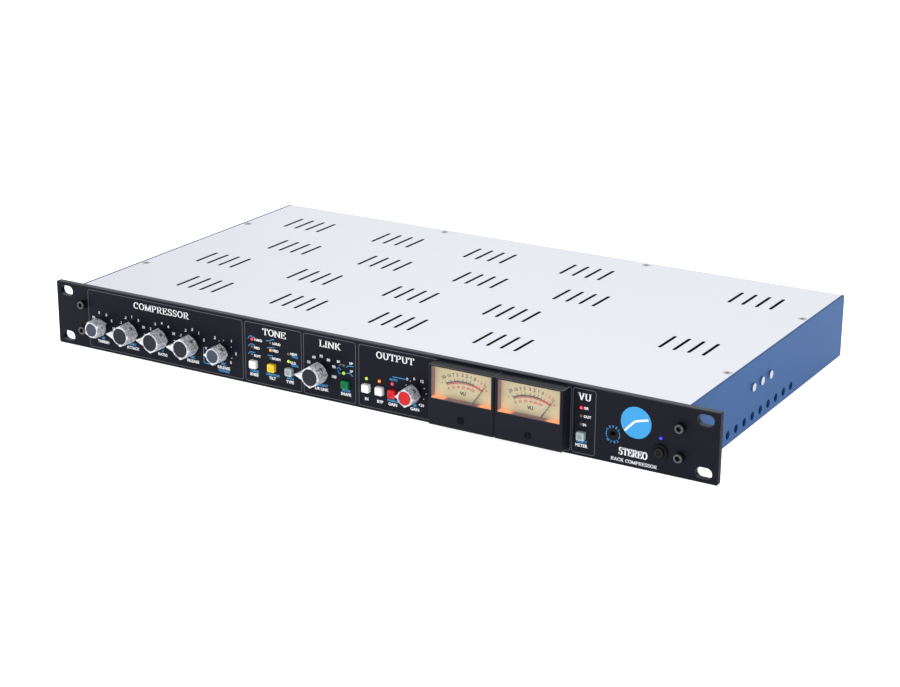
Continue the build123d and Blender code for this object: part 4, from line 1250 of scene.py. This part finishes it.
def make_labels(white, blue, place):
    """Names in white and smaller words in blue under the knobs and keys and beside the lamps."""
    for name, label, unit in KNOB_LABELS:
        x, _ = axis_of("knob_cap_" + name)
        add_words(white, label, x, LABEL_Z, NAME_TYPE, place)
        add_words(blue, unit, x, UNIT_Z, UNIT_TYPE, place)
    for name, label, word in KEY_LABELS:
        x, _ = axis_of("button_" + name)
        add_words(white, label, x, LABEL_Z, NAME_TYPE, place)
        add_words(blue, word, x + 0.3, UNIT_Z - 0.2, WORD_TYPE, place)
    for x, z, label in LAMP_LABELS:
        add_words(white, label, x, z, LAMP_TYPE, place, align="LEFT")
    for ink, kind, labels in ((white, FILTER_TYPE, FILTER_LABELS), (blue, BLUE_TYPE, BLUE_LABELS)):
        for x, z, label in labels:
            add_words(ink, label, x, z, kind, place)


def make_trimmer_print(bm, place):
    """Words and two short arcs round the trimmer's hole."""
    x, z = axis_of("trimmer_rotor")
    for word, centre in (("LEVEL", 0), ("TRIM", 180)):
        for i, letter in enumerate(word):
            angle = centre + 26 * (i - (len(word) - 1) / 2)
            dx, dz = dial_point(4.6, angle)
            add_words(bm, letter, x + dx, z + dz, TRIMMER_TYPE, place, turn=angle)
    for start in (64, 236):
        arc = [dial_point(4.3, start + 10 * i) for i in range(7)]
        ribbon(bm, [(x + px, z + pz) for px, pz in arc], 0.4, place)


def make_print():
    """All the screen printing on the panel, one piece for each ink."""
    place = facing(0, PRINT_Y, 0)
    white, blue, grey, sky = bmesh.new(), bmesh.new(), bmesh.new(), bmesh.new()
    make_frames(grey, place)
    for text, x0, x1 in HEADINGS:
        add_heading(white, text, x0, x1, HEADING_Z, HEADING_HEIGHT, place)
    make_rings(white, place)
    make_labels(white, blue, place)
    for points in BLUE_LINES:
        ribbon(blue, points, BLUE_LINE, place)
    make_trimmer_print(blue, place)
    make_emblem(white, sky, place)
    for bm, name, key in ((white, "print_white", "ink_white"), (blue, "print_blue", "ink_blue"),
                          (grey, "print_grey", "ink_grey"), (sky, "print_sky", "ink_sky_blue")):
        finish_piece(bm, "panel_" + name, "chassis", MATERIALS[key])


def make_emblem(white, sky, place):
    """A plain disc with a transfer curve across it, and two generic words."""
    cx, cz = DISC_CENTRE
    disc = moved(circle(DISC_R, 72), cx, cz)
    add_rings(sky, [(disc, 0.0, 0.0), (disc, 0.05, 0.0)], place)
    curve = [(-7.0, -6.0), (-2.0, -0.6)]
    curve += [(t - 2.0, 1.08 * t - 0.16 * t * t - 0.6) for t in (0.5, 1.0, 1.5, 2.0, 2.5)]
    ribbon(white, moved(curve + [(7.6, 3.0)], cx, cz), 1.3, place, thickness=0.09)
    add_heading(white, "STEREO", 179.8, 197.8, -13.0, 4.6, place)
    add_heading(white, "RACK COMPRESSOR", 174.8, 204.0, -18.5, 2.1, place)


# ---- screws

SCREW_POINTS = 96
KNURL_DEPTH = 0.08
SCREW_HEX = 2.78
SCREW_HEX_MOUTH = 3.0
SCREW_HEX_DEPTH = 2.0
THREAD_R = 1.75


def knurled(radius):
    """A circle whose every second point lies a little further in."""
    ins = [radius - KNURL_DEPTH * (i % 2) for i in range(SCREW_POINTS)]
    return [(r * x, r * y) for r, (x, y) in zip(ins, circle(1.0, SCREW_POINTS))]


def make_panel_screws():
    """Socket-head cap screws with knurled heads."""
    bm = bmesh.new()
    mouth, socket = hexagon(SCREW_HEX_MOUTH, SCREW_POINTS), hexagon(SCREW_HEX, SCREW_POINTS)
    for low, high in solid_boxes("panel_screws"):
        x, z = middle(low, high)
        radius, head = (high.x - low.x) / 2, PANEL_Y - low.y
        place = facing(x, PANEL_Y, z)
        knurl = knurled(radius)
        rings = [(knurl, 0.0, 0.0), (knurl, head - 0.5, 0.1),
                 (circle(radius - 0.35, SCREW_POINTS), head - 0.05, 0.9),
                 (circle(radius - 0.6, SCREW_POINTS), head, 1.0), (mouth, head, 0.8),
                 (socket, head - 0.15, 0.3), (socket, head - SCREW_HEX_DEPTH, 0.0)]
        add_rings(bm, rings, place)
        lathe(bm, [(THREAD_R, PANEL_Y - high.y), (THREAD_R, -0.01)], place, 24)
    finish_piece(bm, "panel_cap_screws", "chassis", MATERIALS["screw_black"],
                 ["panel_screws"], 30)


# ---- finishes of the CAD parts

CONTACT_CIRCLE = 3.9
CONTACT_R = 1.22
CONTACT_L = 12.02
CUP_DEPTH = 14.0


def make_contacts():
    """Gilt sleeves over the three pins of each male connector."""
    profile = [(CONTACT_R, 0.0), (CONTACT_R, CONTACT_L - 0.7), (CONTACT_R - 0.3, CONTACT_L - 0.2, 0.5),
               (CONTACT_R - 0.7, CONTACT_L, 1.0)]
    bm = bmesh.new()
    for low, high in solid_boxes("xlr_sockets")[-2:]:
        x, z = middle(low, high)
        for angle in (180, 270, 360):
            dx, dz = CONTACT_CIRCLE * cos(radians(angle)), CONTACT_CIRCLE * sin(radians(angle))
            lathe(bm, profile, rearward(x + dx, high.y - CUP_DEPTH, z + dz), 20)
    finish_piece(bm, "xlr_contact_sleeves", "chassis", MATERIALS["gold"])


CAD_FINISHES = {
    "front_panel": "panel", "side_plate_left": "side", "side_plate_right": "side", "top_cover": "cover",
    "bottom_cover": "rear", "rear_panel": "rear", "chassis_screws": "screw_bright", "rotary_controls": "can",
    "trimmer_rotor": "deep_black", "switch_bodies": "black", "control_boards": "board", "main_board": "board",
    "board_standoffs": "brass", "power_transformer": "tape", "audio_transformers": "can",
    "board_components": "potted", "regulators": "potted", "xlr_sockets": "black", "mains_inlet": "black",
    "meter_movements": "can",
}


def finish_cad_parts():
    """Dresses the CAD parts that stay as they are."""
    for node, key in CAD_FINISHES.items():
        dress(node, key)


# ---- stage, light and camera

CAMERA_AT = (0.6412, -0.9830, 0.4174)
CAMERA_AZIMUTH = 31.675
CAMERA_ELEVATION = 18.414
CAMERA_LENS = 80.41
CAMERA_SHIFT = (0.0469, -0.0139)
FLOOR_HALF = 6.0
FLOOR_GAP = 0.0002
FLOOR_COLOUR = (0.90, 0.90, 0.905, 1.0)
WHITE = (1.0, 1.0, 1.0, 1.0)
GLOW = 0.9
# Name, place, target, width and height in metres, power in watts.
LIGHTS = (("key", (-0.5, 1.3, 1.2), (0.05, 0.12, 0), (1.2, 0.8), 5.0),
          ("front_fill", (-0.8, -1.6, 0.9), (0, 0, 0), (1.4, 0.8), 4.0))


def make_camera():
    """The camera that the photograph was solved for."""
    data = bpy.data.cameras.new("camera")
    camera = bpy.data.objects.new("camera", data)
    bpy.context.scene.collection.objects.link(camera)
    azimuth, elevation = radians(CAMERA_AZIMUTH), radians(CAMERA_ELEVATION)
    back = Vector((sin(azimuth) * cos(elevation), -cos(azimuth) * cos(elevation), sin(elevation)))
    camera.location = CAMERA_AT
    camera.rotation_mode = "QUATERNION"
    camera.rotation_quaternion = (-back).to_track_quat("-Z", "Y")
    data.lens = CAMERA_LENS
    data.sensor_width = 36.0
    data.shift_x, data.shift_y = CAMERA_SHIFT
    data.clip_start, data.clip_end = 0.01, 50.0
    bpy.context.scene.camera = camera


def make_stage():
    """A plain pale floor."""
    bm = bmesh.new()
    bmesh.ops.create_grid(bm, x_segments=2, y_segments=2, size=FLOOR_HALF)
    mesh = bpy.data.meshes.new("floor")
    bm.to_mesh(mesh)
    bm.free()
    floor = bpy.data.objects.new("floor", mesh)
    floor.location.z = FLOOR_Z * MM - FLOOR_GAP
    bpy.context.scene.collection.objects.link(floor)
    material = surface("floor_white", FLOOR_COLOUR, 0.9, grain=3.0, spread=0.005, bump=0.0)
    _, shader = parts_of(material)
    shader.inputs["Emission Color"].default_value = WHITE
    shader.inputs["Emission Strength"].default_value = GLOW
    mesh.materials.append(material)


def area_light(name, location, target, size, power):
    """A rectangular lamp that faces its target."""
    data = bpy.data.lights.new(name, "AREA")
    data.shape = "RECTANGLE"
    data.size, data.size_y = size
    data.energy = power
    light = bpy.data.objects.new(name, data)
    light.location = location
    light.rotation_mode = "QUATERNION"
    light.rotation_quaternion = (Vector(target) - Vector(location)).to_track_quat("-Z", "Y")
    bpy.context.scene.collection.objects.link(light)


def make_light():
    """An even white surround and two soft lamps."""
    world = bpy.data.worlds.new("studio")
    world.use_nodes = True
    bpy.context.scene.world = world
    background = world.node_tree.nodes["Background"]
    background.inputs["Color"].default_value = WHITE
    background.inputs["Strength"].default_value = GLOW
    for light in LIGHTS:
        area_light(*light)


finish_cad_parts()
make_contacts()
make_knobs()
make_keys()
make_power_switch()
make_lamps()
for meter_side in METERS:
    make_meter(meter_side)
make_print()
make_panel_screws()
make_stage()
make_light()
make_camera()
bpy.context.scene.view_settings.view_transform = "Standard"
